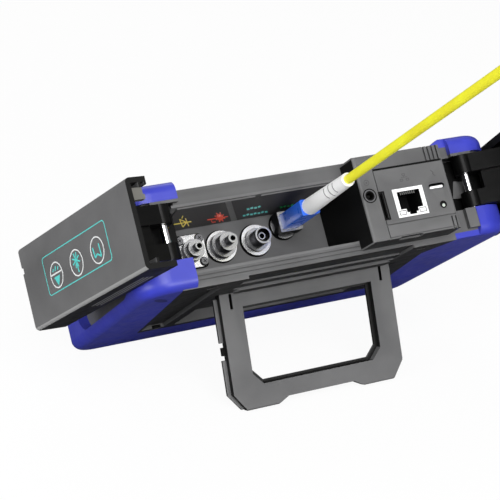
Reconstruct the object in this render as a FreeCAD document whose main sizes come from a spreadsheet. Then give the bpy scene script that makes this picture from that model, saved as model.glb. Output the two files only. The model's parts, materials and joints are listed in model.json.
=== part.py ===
"""Handheld optical time domain reflectometer, leaning on its kickstand, with its port covers stowed.

The unit is drawn in its own frame: X across it, Y from the port block's face towards the far end,
Z from the back towards the screen. Each finished piece is then leaned back as one, so that the
kickstand's foot and the far edge of the bumper both stand on the ground.
"""
import FreeCAD, Part
import os
import re
from math import asin, atan2, cos, degrees, hypot, pi, radians, sin, tan

import Sketcher
from FreeCAD import Placement, Rotation, Vector

doc = FreeCAD.newDocument("reflectometer")
sizes = doc.addObject("Spreadsheet::Sheet", "sizes")

DRIVING = [
    ("half_width", 95, "middle to the outside of a bumper"),
    ("far_end", 143, "port block face to the far end of the bumper"),
    ("back_z", -24.5, "back of the unit"),
    ("rim_z", 25, "bumper rim in front of the screen"),
    ("bumper_wall", 5, "bumper thickness at the sides"),
    ("bumper_round", 5, "rounding of the bumper's long edges"),
    ("plan_round", 14, "corner rounding seen from the screen side"),
    ("back_left_near", -76, "left edge of the bare back at its near end"),
    ("back_left_far", -67, "left edge of the bare back at its far end"),
    ("back_right_near", 64, "right edge of the bare back at its near end"),
    ("back_right_middle", 55, "right edge of the bare back where it bends"),
    ("back_right_bend", 34, "bend of the bare back's right edge"),
    ("back_right_far", 67, "right edge of the bare back at its far end"),
    ("back_far", 113, "far edge of the bare back"),
    ("screen_window_x", 82, "half width of the bumper's opening round the screen"),
    ("screen_window_y", 132, "far edge of the bumper's opening round the screen"),
    ("cap_x", 69, "inner end of the bumper's front caps"),
    ("cap_right", 71.5, "inner end of the right upper cap"),
    ("cap_right_low", 77, "inner end of the right lower cap"),
    ("lug", 1.3, "height of a housing lug under an upper cap"),
    ("lug_front", 11.3, "front of the housing's lugs"),
    ("shell_round", 6, "rounding of the housing's front corners"),
    ("step_left", -44, "left end of the stepped back"),
    ("step_right", 41, "right end of the stepped back"),
    ("cap_front", 11, "front of the bumper's caps"),
    ("face_y", 14, "front of the main housing"),
    ("face_z", 20.5, "screen side of the front housing"),
    ("shell_back_z", -21.5, "back of the rear housing under the bumper"),
    ("split_z", 0, "joint plane of the two housings"),
    ("shell_wall", 3, "housing wall"),
    ("cavity_y", 54, "front of the inner room"),
    ("cavity_floor", -16.5, "floor of the inner room"),
    ("cavity_top", 18, "ceiling of the inner room"),
    ("bay_left", -72, "left end of the port bay"),
    ("bay_right", 14, "right end of the port bay and left side of the port block"),
    ("bay_low", -18, "bottom of the front opening"),
    ("bay_high", 14, "top of the front opening"),
    ("bay_back", 50, "back of the front opening"),
    ("panel_y", 46, "face of the port panel"),
    ("panel_low", -13.5, "bottom of the port panel"),
    ("panel_high", 9.3, "top of the port panel"),
    ("lip", 1.2, "edge of the bay's ledge and floor at its mouth"),
    ("bay_end", 2, "thickness of the bay's end wall"),
    ("port_z", -2, "height of the ports"),
    ("opm_x", -55.5, "power meter port"),
    ("vfl_x", -40.2, "visible laser port"),
    ("event_x", -22.5, "second test port"),
    ("test_x", -7, "first test port, with the lead"),
    ("test_z", 2.7, "height of the first test port"),
    ("test_flange", 6.5, "radius of the first test port's flange"),
    ("ferrule_bore", 1.25, "radius of a port's ferrule bore"),
    ("port_bore", 3, "radius of a hole in the port panel"),
    ("port_stem", 2.9, "radius of a port's stem through the panel"),
    ("flange", 7.4, "radius of a round port flange"),
    ("flange_wall", 1.6, "thickness of a port flange"),
    ("block_right", 60, "right side of the port block"),
    ("block_low", -21.5, "bottom of the port block"),
    ("block_high", 19.4, "top of the port block"),
    ("block_depth", 47, "port block from its face to its back"),
    ("seam_x", 22.5, "seam beside the block's narrow column"),
    ("step_z", 11.4, "step across the block's face"),
    ("groove", 0.6, "depth of a seam or step in a face"),
    ("jack_x", 17.9, "power socket"),
    ("jack_z", 0.35, "power socket"),
    ("card_x", 23.8, "card slot"),
    ("card_z", -5.35, "card slot"),
    ("card_long", 12.4, "card slot"),
    ("card_wide", 1.9, "card slot"),
    ("network_x", 37.5, "network socket"),
    ("network_z", -5.4, "network socket"),
    ("network_wide", 16, "network socket"),
    ("network_tall", 13.6, "network socket"),
    ("network_deep", 16, "network socket"),
    ("usb_x", 52.9, "data socket"),
    ("usb_z", -0.25, "data socket"),
    ("usb_wide", 8.94, "data socket shell"),
    ("usb_tall", 3.26, "data socket shell"),
    ("lamp_x", 53.9, "charging lamp"),
    ("lamp_z", -9.4, "charging lamp"),
    ("pin_x", 78, "hinge pin from the middle"),
    ("pin_y", 14, "hinge pin from the block's face"),
    ("pin_radius", 2, "hinge pin"),
    ("pin_play", 0.05, "running clearance on a pin"),
    ("pin_low", -17, "lower end of a hinge pin"),
    ("pin_high", 18.5, "upper end of a hinge pin"),
    ("pocket_low", -11, "lower lug of a cover hinge"),
    ("pocket_high", 15, "upper lug of a cover hinge"),
    ("pocket_depth", 7, "hinge pocket behind the pin"),
    ("pocket_in", 7, "left hinge pocket inboard of its pin"),
    ("pocket_in_right", 12, "right hinge pocket inboard of its pin"),
    ("knuckle", 4.6, "radius of a knuckle"),
    ("knuckle_high", 8.8, "height of the upper knuckle"),
    ("knuckle_low", 7.6, "height of the lower knuckle"),
    ("knuckle_gap", 0.3, "room between a knuckle and its lug"),
    ("arm_reach", 31, "hinge pin to the outside of a cover"),
    ("cover_left", 108, "length of the left cover"),
    ("cover_right", 80, "length of the right cover"),
    ("cover_ahead", 28.5, "pin to the free end of a stowed cover"),
    ("cover_low", -18.5, "lower side of a cover"),
    ("cover_high", 21.5, "upper side of a cover"),
    ("cover_wall", 2.4, "cover wall"),
    ("cover_deep", 15.5, "depth of a cover's lower wall"),
    ("cover_top", 10, "depth of a cover's upper wall"),
    ("cover_round", 2.2, "rounding of a cover's long edges"),
    ("rail", 1.2, "thickness of a guide rail"),
    ("rail_tall", 2.2, "height of a guide rail"),
    ("slider", 3, "thickness of a hinge slider"),
    ("slider_half", 13, "half length of a hinge slider"),
    ("slider_play", 0.3, "clearance round a hinge slider"),
    ("stand_y", 50, "kickstand pivot from the block's face"),
    ("stand_z", -22, "kickstand pivot"),
    ("stand_x", -1.2, "middle of the kickstand"),
    ("stand_half", 45.1, "half width of the kickstand's face"),
    ("stand_long", 57.2, "kickstand pivot to foot"),
    ("stand_leg", 11, "width of a kickstand leg"),
    ("stand_bar", 8.2, "width of the kickstand's lower bar"),
    ("stand_thick", 4.8, "thickness of the kickstand"),
    ("stand_flange", 1.4, "thickness of the flange behind the kickstand's face"),
    ("stand_rim", 1.9, "overhang of that flange at the sides"),
    ("stand_head", 2.2, "kickstand above its pivot"),
    ("stand_top", 6.3, "width of the kickstand's upper bar below its pivot"),
    ("stand_foot", 3, "drop of the feet below the lower bar"),
    ("stand_corner", 8.4, "height of the kickstand's bevelled corners"),
    ("stand_gap", 0.8, "room round the folded kickstand"),
    ("stand_pin", 1.5, "radius of a kickstand pin"),
    ("stand_pin_long", 11, "length of a kickstand pin"),
    ("foot_round", 1, "rounding of the kickstand's foot"),
    ("glass_x", 83, "half width of the display glass"),
    ("glass_near", 20, "near edge of the display glass"),
    ("glass_far", 118, "far edge of the display glass"),
    ("glass", 1.6, "thickness of the display glass"),
    ("key_y", 125, "row of keys"),
    ("key_pitch", 18, "distance between keys"),
    ("key_half_x", 5.5, "half width of a key"),
    ("key_half_y", 2.6, "half height of a key"),
    ("key_play", 0.3, "clearance round a key"),
    ("key_proud", 1.2, "height of a key above the housing"),
    ("boot_long", 43, "strain relief of the lead"),
    ("boot_radius", 3.9, "strain relief of the lead at its plug"),
    ("boot_tip", 3.1, "strain relief of the lead at its free end"),
    ("cable_radius", 2.1, "lead cable"),
    ("plug_wide", 9, "lead plug"),
    ("plug_tall", 7.4, "lead plug"),
    ("plug_front", 12, "where the plug ends and the strain relief starts"),
]
for line, (alias, number, note) in enumerate(DRIVING, start=1):
    sizes.set(f"A{line}", note)
    sizes.set(f"B{line}", str(number))
    sizes.setAlias(f"B{line}", alias)
doc.recompute()

LEFT_SPLAY = 11.4
RIGHT_SPLAY = 9.0
STAND_OPENING = 75.6


def ex(text):
    """An expression in the sheet's names, as the document reads it."""
    return re.sub(r"[a-z_]+", lambda found: "sizes." + found.group(0), str(text))


def mm(text):
    """The value of an expression in the sheet's names."""
    return float(sizes.evalExpression(ex(text)))


def bind(target, **fields):
    for field, text in fields.items():
        target.setExpression(field, ex(text))
    return target


def place(target, x=0, y=0, z=0):
    for axis, text in zip("xyz", (x, y, z)):
        target.setExpression(f"Placement.Base.{axis}", ex(text))
    return target


def block(name, x0, x1, y0, y1, z0, z1):
    """A box between six planes, each an expression."""
    box = doc.addObject("Part::Box", name)
    bind(box, Length=f"({x1}) - ({x0})", Width=f"({y1}) - ({y0})", Height=f"({z1}) - ({z0})")
    return place(box, x0, y0, z0)


TURNS = {"x": Rotation(Vector(0, 1, 0), 90), "y": Rotation(Vector(1, 0, 0), -90), "z": Rotation()}


def rod(name, along, radius, length, x, y, z):
    """A cylinder from a point along an axis."""
    cylinder = doc.addObject("Part::Cylinder", name)
    cylinder.Placement = Placement(Vector(), TURNS[along])
    bind(cylinder, Radius=radius, Height=length)
    return place(cylinder, x, y, z)


def cut(name, base, *tools):
    result = doc.addObject("Part::Cut", name)
    result.Base = base
    result.Tool = tools[0] if len(tools) == 1 else join(name + "_tools", *tools)
    return result


def join(name, *pieces):
    result = doc.addObject("Part::MultiFuse", name)
    result.Shapes = list(pieces)
    return result


def softened(name, base, radius, test):
    """Fillets on the edges that a test of middle and run picks."""
    doc.recompute()
    result = doc.addObject("Part::Fillet", name)
    result.Base = base
    size = mm(radius)
    result.Edges = [(i, size, size) for i in edge_numbers(base.Shape, test)]
    return result


def edge_numbers(shape, test):
    picked = []
    for i, edge in enumerate(shape.Edges, start=1):
        run = edge.Vertexes[-1].Point - edge.Vertexes[0].Point
        if test(edge.CenterOfMass, run):
            picked.append(i)
    return picked


def runs_along(run, axis):
    """Whether an edge is straight along an axis."""
    x, y, z = (abs(value) for value in run)
    others = {"x": y + z, "y": x + z, "z": x + y}[axis]
    return others < 1e-6 and x + y + z > 1e-6


def body(name):
    return doc.addObject("PartDesign::Body", name)


def sketch(holder, role, name, offset=0):
    """A sketch on one of a body's own planes, moved along its normal."""
    drawing = holder.newObject("Sketcher::SketchObject", name)
    plane = next(feature for feature in holder.Origin.OriginFeatures if feature.Role == role)
    drawing.AttachmentSupport = (plane, [""])
    drawing.MapMode = "FlatFace"
    drawing.setExpression("AttachmentOffset.Base.z", ex(offset))
    return drawing


def hold(drawing, geometry, end, x, y):
    """Holds a point of a sketch at two sizes from the origin."""
    for kind, axis, text in (("DistanceX", -2, x), ("DistanceY", -1, y)):
        if abs(mm(text)) < 1e-9:
            drawing.addConstraint(Sketcher.Constraint("PointOnObject", geometry, end, axis))
            continue
        number = drawing.addConstraint(Sketcher.Constraint(kind, -1, 1, geometry, end, mm(text)))
        drawing.setExpression(f"Constraints[{number}]", ex(text))


def outline(drawing, *corners):
    """A closed outline of straight lines, each corner a pair of expressions."""
    first = drawing.GeometryCount
    count = len(corners)
    points = [Vector(mm(x), mm(y), 0) for x, y in corners]
    for i in range(count):
        drawing.addGeometry(Part.LineSegment(points[i], points[(i + 1) % count]))
    for i in range(count):
        drawing.addConstraint(Sketcher.Constraint("Coincident", first + i, 2, first + (i + 1) % count, 1))
    for i, (x, y) in enumerate(corners):
        hold(drawing, first + i, 1, x, y)


def box_outline(drawing, x0, x1, y0, y1):
    outline(drawing, (x0, y0), (x1, y0), (x1, y1), (x0, y1))


def circle(drawing, x, y, radius):
    number = drawing.addGeometry(Part.Circle(Vector(mm(x), mm(y), 0), Vector(0, 0, 1), mm(radius)))
    hold(drawing, number, 3, x, y)
    limit = drawing.addConstraint(Sketcher.Constraint("Radius", number, mm(radius)))
    drawing.setExpression(f"Constraints[{limit}]", ex(radius))


def pad(holder, name, drawing, length, reverse=False):
    feature = holder.newObject("PartDesign::Pad", name)
    feature.Profile = drawing
    feature.Reversed = reverse
    drawing.Visibility = False
    return bind(feature, Length=length)


def pocket(holder, name, drawing, length, reverse=False):
    feature = holder.newObject("PartDesign::Pocket", name)
    feature.Profile = drawing
    feature.Reversed = reverse
    return bind(feature, Length=length)


def fillet(holder, name, radius, test):
    """Rounds the edges of a body's last feature that a test picks."""
    doc.recompute()
    base = holder.Tip
    feature = holder.newObject("PartDesign::Fillet", name)
    feature.Base = (base, [f"Edge{i}" for i in edge_numbers(base.Shape, test)])
    return bind(feature, Radius=radius)


def turned(holder, name, *profile):
    """A body of revolution about the local Y axis from (radius, height) corners."""
    drawing = sketch(holder, "XY_Plane", name + "_profile")
    outline(drawing, *profile)
    feature = holder.newObject("PartDesign::Revolution", name)
    feature.Profile = drawing
    feature.ReferenceAxis = (drawing, ["V_Axis"])
    feature.Angle = 360
    return feature


NODES = []
UNIT = Placement()


def node(label, piece, own=UNIT):
    """Names a finished piece and keeps the place that it has in the unit's frame."""
    NODES.append((label, piece, own))
    return piece


def group(label, *pieces):
    """A node of one or more primitives, kept apart as separate solids."""
    holder = doc.addObject("Part::Compound", label)
    holder.Links = list(pieces)
    return node(label, holder)


# Bumper: one soft moulding round the sides, the far end and the four front corners.

def rounded_plan(name, x, y0, y1, z0, z1, front_round, far_round):
    """A box with its upright edges rounded, less at the front than at the far end or more."""
    slab = block(name + "_slab", f"-({x})", x, y0, y1, z0, z1)
    middle = (mm(y0) + mm(y1)) / 2
    soft = softened(name + "_front", slab, front_round,
                    lambda at, run: runs_along(run, "z") and at.y < middle)
    return softened(name, soft, far_round, lambda at, run: runs_along(run, "z") and at.y > middle)


def bare_back(name, low, high):
    """The part of the back that the bumper leaves bare, between two heights."""
    slab = body(name)
    drawing = sketch(slab, "XY_Plane", name + "_outline", low)
    outline(drawing, ("back_left_near", "face_y"), ("back_right_near", "face_y"),
            ("back_right_middle", "back_right_bend"), ("back_right_far", "back_far"),
            ("back_left_far", "back_far"))
    pad(slab, name + "_pad", drawing, f"({high}) - ({low})")
    return slab


def hinge_pocket(name, side, low, high, inner=None):
    """The room for a hinge's knuckles and arms at one front corner."""
    inner = inner or ("pin_x - pocket_in" if side < 0 else "pin_x - pocket_in_right")
    outer = "half_width + 1"
    ends = (inner, outer) if side > 0 else (f"-({outer})", f"-({inner})")
    return block(name, *ends, "cap_front - 1", "pin_y + pocket_depth", low, high)


def pin_bore(name, side, low, high):
    """The press-fit bore of a hinge pin."""
    return rod(name, "z", "pin_radius", f"({high}) - ({low})", f"{side} * pin_x", "pin_y", low)


def shell_box(name, low, high):
    """The housing's outline between two heights, with its front corners rounded."""
    side = "half_width - bumper_wall"
    slab = block(name + "_slab", f"-({side})", side, "face_y", "far_end - bumper_wall", low, high)
    limit = mm("face_y") + 0.1
    return softened(name, slab, "shell_round", lambda at, run: runs_along(run, "z") and at.y < limit)


def brow_cut():
    """The opening above the front face, with a slanted end at the right."""
    brow = body("bumper_brow")
    drawing = sketch(brow, "XZ_Plane", "bumper_brow_outline", "-(cap_front - 1)")
    outline(drawing, ("-cap_x", "face_z - 1"), ("cap_x - 9", "face_z - 1"), ("cap_x - 9", "face_z"),
            ("cap_x", "rim_z"), ("cap_x", "rim_z + 1"), ("-cap_x", "rim_z + 1"))
    pad(brow, "bumper_brow_pad", drawing, "glass_near - cap_front + 1", True)
    return brow


def build_bumper():
    skin = rounded_plan("bumper_skin", "half_width", "cap_front", "far_end", "back_z", "rim_z",
                        "plan_round", "plan_round")
    low, high = mm("back_z"), mm("rim_z")
    soft = softened("bumper_soft", skin, "bumper_round",
                    lambda at, run: (at.z < low + 0.1 or at.z > high - 0.1) and at.y > mm("cap_front") + 1)
    inside = shell_box("bumper_inside", "shell_back_z", "face_z")
    back = bare_back("bumper_back_window", "back_z - 1", "shell_back_z + 1")
    screen = rounded_plan("bumper_screen_window", "screen_window_x", "glass_near - 2", "screen_window_y",
                          "face_z - 1", "rim_z + 1", 6, 6)
    mouth = block("bumper_mouth", "-cap_x", "cap_x", "cap_front - 1", "face_y", "back_z - 1", "rim_z + 1")
    upper = block("bumper_mouth_upper", "cap_x - 1", "cap_right", "cap_front - 1", "face_y", "split_z", "rim_z + 1")
    lower = block("bumper_mouth_lower", "cap_x - 1", "cap_right_low", "cap_front - 1", "face_y", "back_z - 1",
                  "split_z")
    cuts = [inside, back, screen, mouth, upper, lower, brow_cut()]
    for side, word in ((-1, "left"), (1, "right")):
        cuts.append(hinge_pocket(f"bumper_{word}_pocket", side, "pocket_low", "pocket_high + lug", "cap_x - 1"))
        cuts.append(pin_bore(f"bumper_{word}_bore", side, "pin_low", "pin_high"))
        wall = ("half_width - bumper_wall - 1", "half_width + 1")
        ends = wall if side > 0 else (f"-({wall[1]})", f"-({wall[0]})")
        window = block(f"bumper_{word}_oval_slab", *ends, 29, 113, -19.5, 3)
        cuts.append(softened(f"bumper_{word}_oval", window, 11,
                             lambda at, run: runs_along(run, "x")))
    return node("bumper", cut("bumper", soft, *cuts))


# Housings: a rear shell and a front shell, joined at the split plane over a seal.

def front_opening(name, low, high):
    """The opening that takes the port bay and the port block."""
    return block(name, "bay_left", "block_right", "face_y - 1", "bay_back", low, high)


def build_rear_housing():
    side = "half_width - bumper_wall"
    shell = shell_box("rear_shell", "shell_back_z", "split_z")
    back = bare_back("rear_back", "back_z", "shell_back_z + 1")
    ridge = block("back_ridge_slab", "step_left + 2", "step_right - 1", 36.5, 43.5, "back_z - 0.9", "back_z + 1")
    ridge = softened("back_ridge", ridge, 3.3, lambda at, run: runs_along(run, "z"))
    lug = block("rear_lug", "cap_right", "cap_right_low", "lug_front", "face_y", "block_low + 1", "pocket_low")
    whole = join("rear_whole", shell, back, ridge, lug)
    room = block("rear_room", f"-({side} - shell_wall)", f"{side} - shell_wall", "cavity_y",
                 "far_end - bumper_wall - shell_wall", "cavity_floor", "split_z + 1")
    reach = "stand_half + stand_rim + stand_gap"
    recess = block("stand_recess", f"stand_x - ({reach})", f"stand_x + {reach}",
                   "stand_y - stand_head - stand_gap - 2.5", "stand_y + stand_long + stand_gap", "back_z - 1",
                   "stand_z + stand_thick / 2 + 0.3")
    cuts = [room, recess, front_opening("rear_opening", "bay_low", "split_z + 1")]
    cuts.append(block("back_step_near", "step_left", "step_right", "face_y - 1", 29, "back_z - 1", "back_z + 1.4"))
    cuts.append(block("back_step_far", "step_left", "step_right", 28, 36.5, "back_z - 1", "back_z + 0.5"))
    for number, z in enumerate(("bay_low - 1.3", "bay_low - 3.2")):
        cuts.append(block(f"front_line_{number}", "bay_left + 1", "bay_right", "face_y - 1", "face_y + groove",
                          f"{z} - 0.25", f"{z} + 0.25"))
    for sign, word in ((-1, "left"), (1, "right")):
        cuts.append(hinge_pocket(f"rear_{word}_pocket", sign, "pocket_low", "split_z + 1"))
        cuts.append(pin_bore(f"rear_{word}_bore", sign, "pin_low", "pocket_low + 1"))
        cuts.append(stand_pin_bore(f"rear_{word}_stand_bore", sign))
    cuts.append(block("battery_hatch", -38, 38, 60, 98, "stand_z + stand_thick / 2 + 0.2", "cavity_floor - 1.2"))
    cuts.append(back_tray())
    for number, (x, y) in enumerate(SCREWS):
        cuts.append(rod(f"rear_screw_seat_{number}", "z", 2.5, 1.7, x, y, "back_z - 0.5"))
    seal = seal_ring("rear_seal_groove", 1)
    return node("rear_housing", cut("rear_housing", whole, *cuts, seal))


SCREWS = ((-60, 20), (48, 20), (-58, 109), (58, 109))


def back_tray():
    """A sunk strip in the back, along the left side of the kickstand."""
    return block("tray", -66.5, "stand_x - stand_half - stand_pin_long + 3.2", 24, 108, "back_z - 1", "back_z + 1.9")


def stand_pin_bore(name, sign):
    """The bore of a kickstand pin in the housing, beyond the recess wall."""
    start = "stand_half + stand_rim + stand_gap - 1"
    reach = "stand_pin_long - 4.2 - stand_rim - stand_gap + 1"
    x = f"stand_x + {start}" if sign > 0 else f"stand_x - ({start} + {reach})"
    return rod(name, "x", "stand_pin", reach, x, "stand_y", "stand_z")


def seal_ring(name, height):
    """A ring in the wall's middle, round the inner room."""
    side = "half_width - bumper_wall - shell_wall / 2"
    far = "far_end - bumper_wall - shell_wall / 2"
    outer = block(name + "_outer", f"-({side} + 0.6)", f"{side} + 0.6", "cavity_y - 2.4", f"{far} + 0.6",
                  f"split_z - {height}", "split_z")
    inner = block(name + "_inner", f"-({side} - 0.6)", f"{side} - 0.6", "cavity_y - 1.2", f"{far} - 0.6",
                  f"split_z - {height} - 1", "split_z + 1")
    return cut(name, outer, inner)


def build_front_housing():
    side = "half_width - bumper_wall"
    lugs = [block(f"front_lug_{word}", x0, x1, "lug_front", "face_y + shell_round", "pocket_high", "pocket_high + lug")
            for word, x0, x1 in (("left", "-(pin_x + knuckle)", "-cap_x"), ("right", "cap_right", "pin_x + knuckle"))]
    shell = join("front_whole", shell_box("front_shell", "split_z", "face_z"), *lugs)
    room = block("front_room", f"-({side} - shell_wall)", f"{side} - shell_wall", "cavity_y",
                 "far_end - bumper_wall - shell_wall", "split_z - 1", "cavity_top")
    seat = block("glass_seat", "-glass_x", "glass_x", "glass_near", "glass_far", "face_z - glass", "face_z + 1")
    window = block("glass_window", "-(glass_x - 4)", "glass_x - 4", "cavity_y", "glass_far - 4",
                   "cavity_top - 1", "face_z")
    cuts = [room, seat, window, front_opening("front_opening", "split_z - 1", "bay_high")]
    for sign, word in ((-1, "left"), (1, "right")):
        cuts.append(hinge_pocket(f"front_{word}_pocket", sign, "split_z - 1", "pocket_high"))
        cuts.append(pin_bore(f"front_{word}_bore", sign, "pocket_high - 1", "pin_high"))
    for number, word in enumerate(KEY_WORDS):
        cuts.append(key_hole(word, number))
    return node("front_housing", cut("front_housing", shell, *cuts))


KEY_WORDS = ("power", "test", "menu", "back")


def key_x(number):
    return f"({number} - 1.5) * key_pitch"


def key_hole(word, number):
    x = key_x(number)
    return block(f"{word}_key_hole", f"{x} - key_half_x - key_play", f"{x} + key_half_x + key_play",
                 "key_y - key_half_y - key_play", "key_y + key_half_y + key_play", "cavity_top - 1", "face_z + 1")


def build_seal():
    node("housing_seal", seal_ring("housing_seal", 1))


def build_inside():
    """Display, boards, optical module and battery, stacked in the inner room."""
    group("display_glass", block("glass_slab", "-glass_x", "glass_x", "glass_near", "glass_far",
                                 "face_z - glass", "face_z"))
    group("display_module", block("display_slab", "-(glass_x - 6)", "glass_x - 6", "cavity_y + 1",
                                  "glass_far - 5", "face_z - glass - 6", "face_z - glass"))
    group("battery_pack", block("battery_slab", -84, -6, 60, 128, "cavity_floor", -4))
    group("optical_module", block("optics_slab", 4, 78, 60, 122, "cavity_floor", -4))
    group("main_board", block("board_slab", -82, 82, 58, 130, -4, -2.4))
    hatch = block("hatch_slab", -38, 38, 60, 98, "stand_z + stand_thick / 2 + 0.3", "cavity_floor - 1.2")
    group("battery_cover", hatch)


def build_keys():
    for number, word in enumerate(KEY_WORDS):
        x = key_x(number)
        cap = body(f"{word}_key")
        drawing = sketch(cap, "XY_Plane", f"{word}_key_shape", "cavity_top - 0.3")
        box_outline(drawing, f"{x} - key_half_x", f"{x} + key_half_x", "key_y - key_half_y", "key_y + key_half_y")
        pad(cap, f"{word}_key_cap", drawing, "face_z + key_proud - cavity_top + 0.3")
        fillet(cap, f"{word}_key_corners", "key_half_y - 0.4", lambda at, run: runs_along(run, "z"))
        skirt = sketch(cap, "XY_Plane", f"{word}_key_skirt_shape", "cavity_top - 1.5")
        box_outline(skirt, f"{x} - key_half_x - 1.4", f"{x} + key_half_x + 1.4", "key_y - key_half_y - 1.4",
                    "key_y + key_half_y + 1.4")
        pad(cap, f"{word}_key_skirt", skirt, 1.2)
        node(f"{word}_key", cap)


# Port bay: a slanted label ledge, a floor and an end wall round the port panel, and the ports.

def build_port_bay():
    """The bay's slanted ledge and floor, its end wall, and the panel that holds the ports."""
    ledge_piece = body("bay_ledge")
    upper = sketch(ledge_piece, "YZ_Plane", "bay_ledge_profile", "bay_left")
    outline(upper, ("bay_back", "bay_high"), ("face_y", "bay_high"), ("face_y", ledge("face_y")),
            ("panel_y", "panel_high"), ("bay_back", "panel_high"))
    pad(ledge_piece, "bay_ledge_pad", upper, "bay_right - bay_left")
    node("bay_ledge", ledge_piece)
    floor_piece = body("bay_floor")
    lower = sketch(floor_piece, "YZ_Plane", "bay_floor_profile", "bay_left")
    outline(lower, ("face_y", "bay_low"), ("bay_back", "bay_low"), ("bay_back", "panel_low"),
            ("panel_y", "panel_low"), ("face_y", bay_floor("face_y")))
    pad(floor_piece, "bay_floor_pad", lower, "bay_right - bay_left")
    node("bay_floor", floor_piece)
    wall = body("bay_end_wall")
    end = sketch(wall, "YZ_Plane", "bay_end_profile", "bay_left")
    near = "pin_y + pocket_depth"
    outline(end, (near, bay_floor(near)), ("panel_y", "panel_low"), ("bay_back", "panel_low"),
            ("bay_back", "panel_high"), ("panel_y", "panel_high"), (near, ledge(near)))
    pad(wall, "bay_end_pad", end, "bay_end")
    node("bay_end_wall", wall)
    panel = body("port_bay")
    face = sketch(panel, "XZ_Plane", "port_bay_face", "-panel_y")
    box_outline(face, "bay_left + bay_end", "bay_right", "panel_low", "panel_high")
    pad(panel, "port_bay_pad", face, "bay_back - panel_y", True)
    holes = sketch(panel, "XZ_Plane", "port_holes", "-(panel_y - 1)")
    for x, z in PORTS:
        circle(holes, x, z, "port_bore")
    pocket(panel, "port_holes_cut", holes, "bay_back - panel_y + 2")
    return node("port_bay", panel)


def build_label_strips():
    """Two printed strips on the bay's slanted ledge, above the ports."""
    strips = []
    for number, (x0, x1) in enumerate((("bay_left + 3", -30.5), (-27.5, "bay_right - 2"))):
        strip = body(f"label_strip_{number}")
        profile = sketch(strip, "YZ_Plane", f"label_strip_{number}_profile", x0)
        near, far = "face_y + 1.5", "panel_y - 1.5"
        outline(profile, (near, ledge(near)), (far, ledge(far)), (far, ledge(far) + " - 0.5"),
                (near, ledge(near) + " - 0.5"))
        pad(strip, f"label_strip_{number}_pad", profile, f"({x1}) - ({x0})")
        strips.append(strip)
    group("label_strips", *strips)


def ledge(y):
    """The height of the bay's slanted ledge at a depth."""
    fall = "(bay_high - lip - panel_high) / (panel_y - face_y)"
    return f"bay_high - lip - {fall} * (({y}) - face_y)"


def bay_floor(y):
    """The height of the bay's slanted floor at a depth."""
    rise = "(panel_low - bay_low - lip) / (panel_y - face_y)"
    return f"bay_low + lip + {rise} * (({y}) - face_y)"


STEM_END = "panel_y - bay_back"
PORTS = (("opm_x", "port_z"), ("vfl_x", "port_z"), ("event_x", "port_z"), ("test_x", "test_z"))


def facing(x, z):
    """The place of a piece whose local Y axis points out of the port panel."""
    return Placement(Vector(mm(x), mm("panel_y"), mm(z)), Rotation(Vector(0, 0, 1), 180))


def build_ports():
    flange = body("opm_flange")
    plate = sketch(flange, "XZ_Plane", "opm_plate")
    box_outline(plate, -7.1, 7.1, -7.8, 7.8)
    pad(flange, "opm_plate_pad", plate, "flange_wall", True)
    fillet(flange, "opm_plate_corners", 2.2, lambda at, run: runs_along(run, "y"))
    holes = sketch(flange, "XZ_Plane", "opm_plate_holes")
    circle(holes, 0, 0, "port_bore")
    for x, z in SCREW_PLACES:
        circle(holes, x, z, 0.9)
    pocket(flange, "opm_plate_drill", holes, "flange_wall")
    node("opm_flange", flange, facing("opm_x", "port_z"))
    tube = body("opm_tube")
    turned(tube, "opm_tube_turn", ("ferrule_bore", 12.6), (1.9, 12.6), (1.9, 8.6), (3.9, 8.6), (3.9, 5),
           (5.1, 5), (5.1, "flange_wall"), ("port_stem", "flange_wall"), ("port_stem", STEM_END),
           ("ferrule_bore", STEM_END))
    node("opm_tube", tube, facing("opm_x", "port_z"))
    screws = []
    for number, (x, z) in enumerate(SCREW_PLACES):
        stem = rod(f"opm_screw_stem_{number}", "y", 0.85, "flange_wall", f"opm_x + {x}", "panel_y - flange_wall",
                   f"port_z + {z}")
        head = rod(f"opm_screw_head_{number}", "y", 1.7, 1.1, f"opm_x + {x}", "panel_y - flange_wall - 1.1",
                   f"port_z + {z}")
        screws.append(join(f"opm_screw_{number}", stem, head))
    group("opm_screws", *screws)
    vfl = body("vfl_port")
    turned(vfl, "vfl_turn", ("ferrule_bore", 16.5), (2.2, 16.5), (2.2, 11), (4.4, 11), (4.4, 5), (6, 5),
           (6, "flange_wall"), ("flange", "flange_wall"), ("flange", 0), ("port_stem", 0),
           ("port_stem", STEM_END), ("ferrule_bore", STEM_END))
    node("vfl_port", vfl, facing("vfl_x", "port_z"))
    event = body("event_port")
    turned(event, "event_turn", ("ferrule_bore", 9), (1.7, 9), (1.7, 3), (3.2, 3), (3.2, 11), (4, 11),
           (4, 3), (5.6, 3), (5.6, "flange_wall"), ("flange", "flange_wall"), ("flange", 0),
           ("port_stem", 0), ("port_stem", STEM_END), ("ferrule_bore", STEM_END))
    node("event_port", event, facing("event_x", "port_z"))


SCREW_PLACES = ((-4.9, -5.6), (4.9, -5.6), (-4.9, 5.6), (4.9, 5.6))


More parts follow.
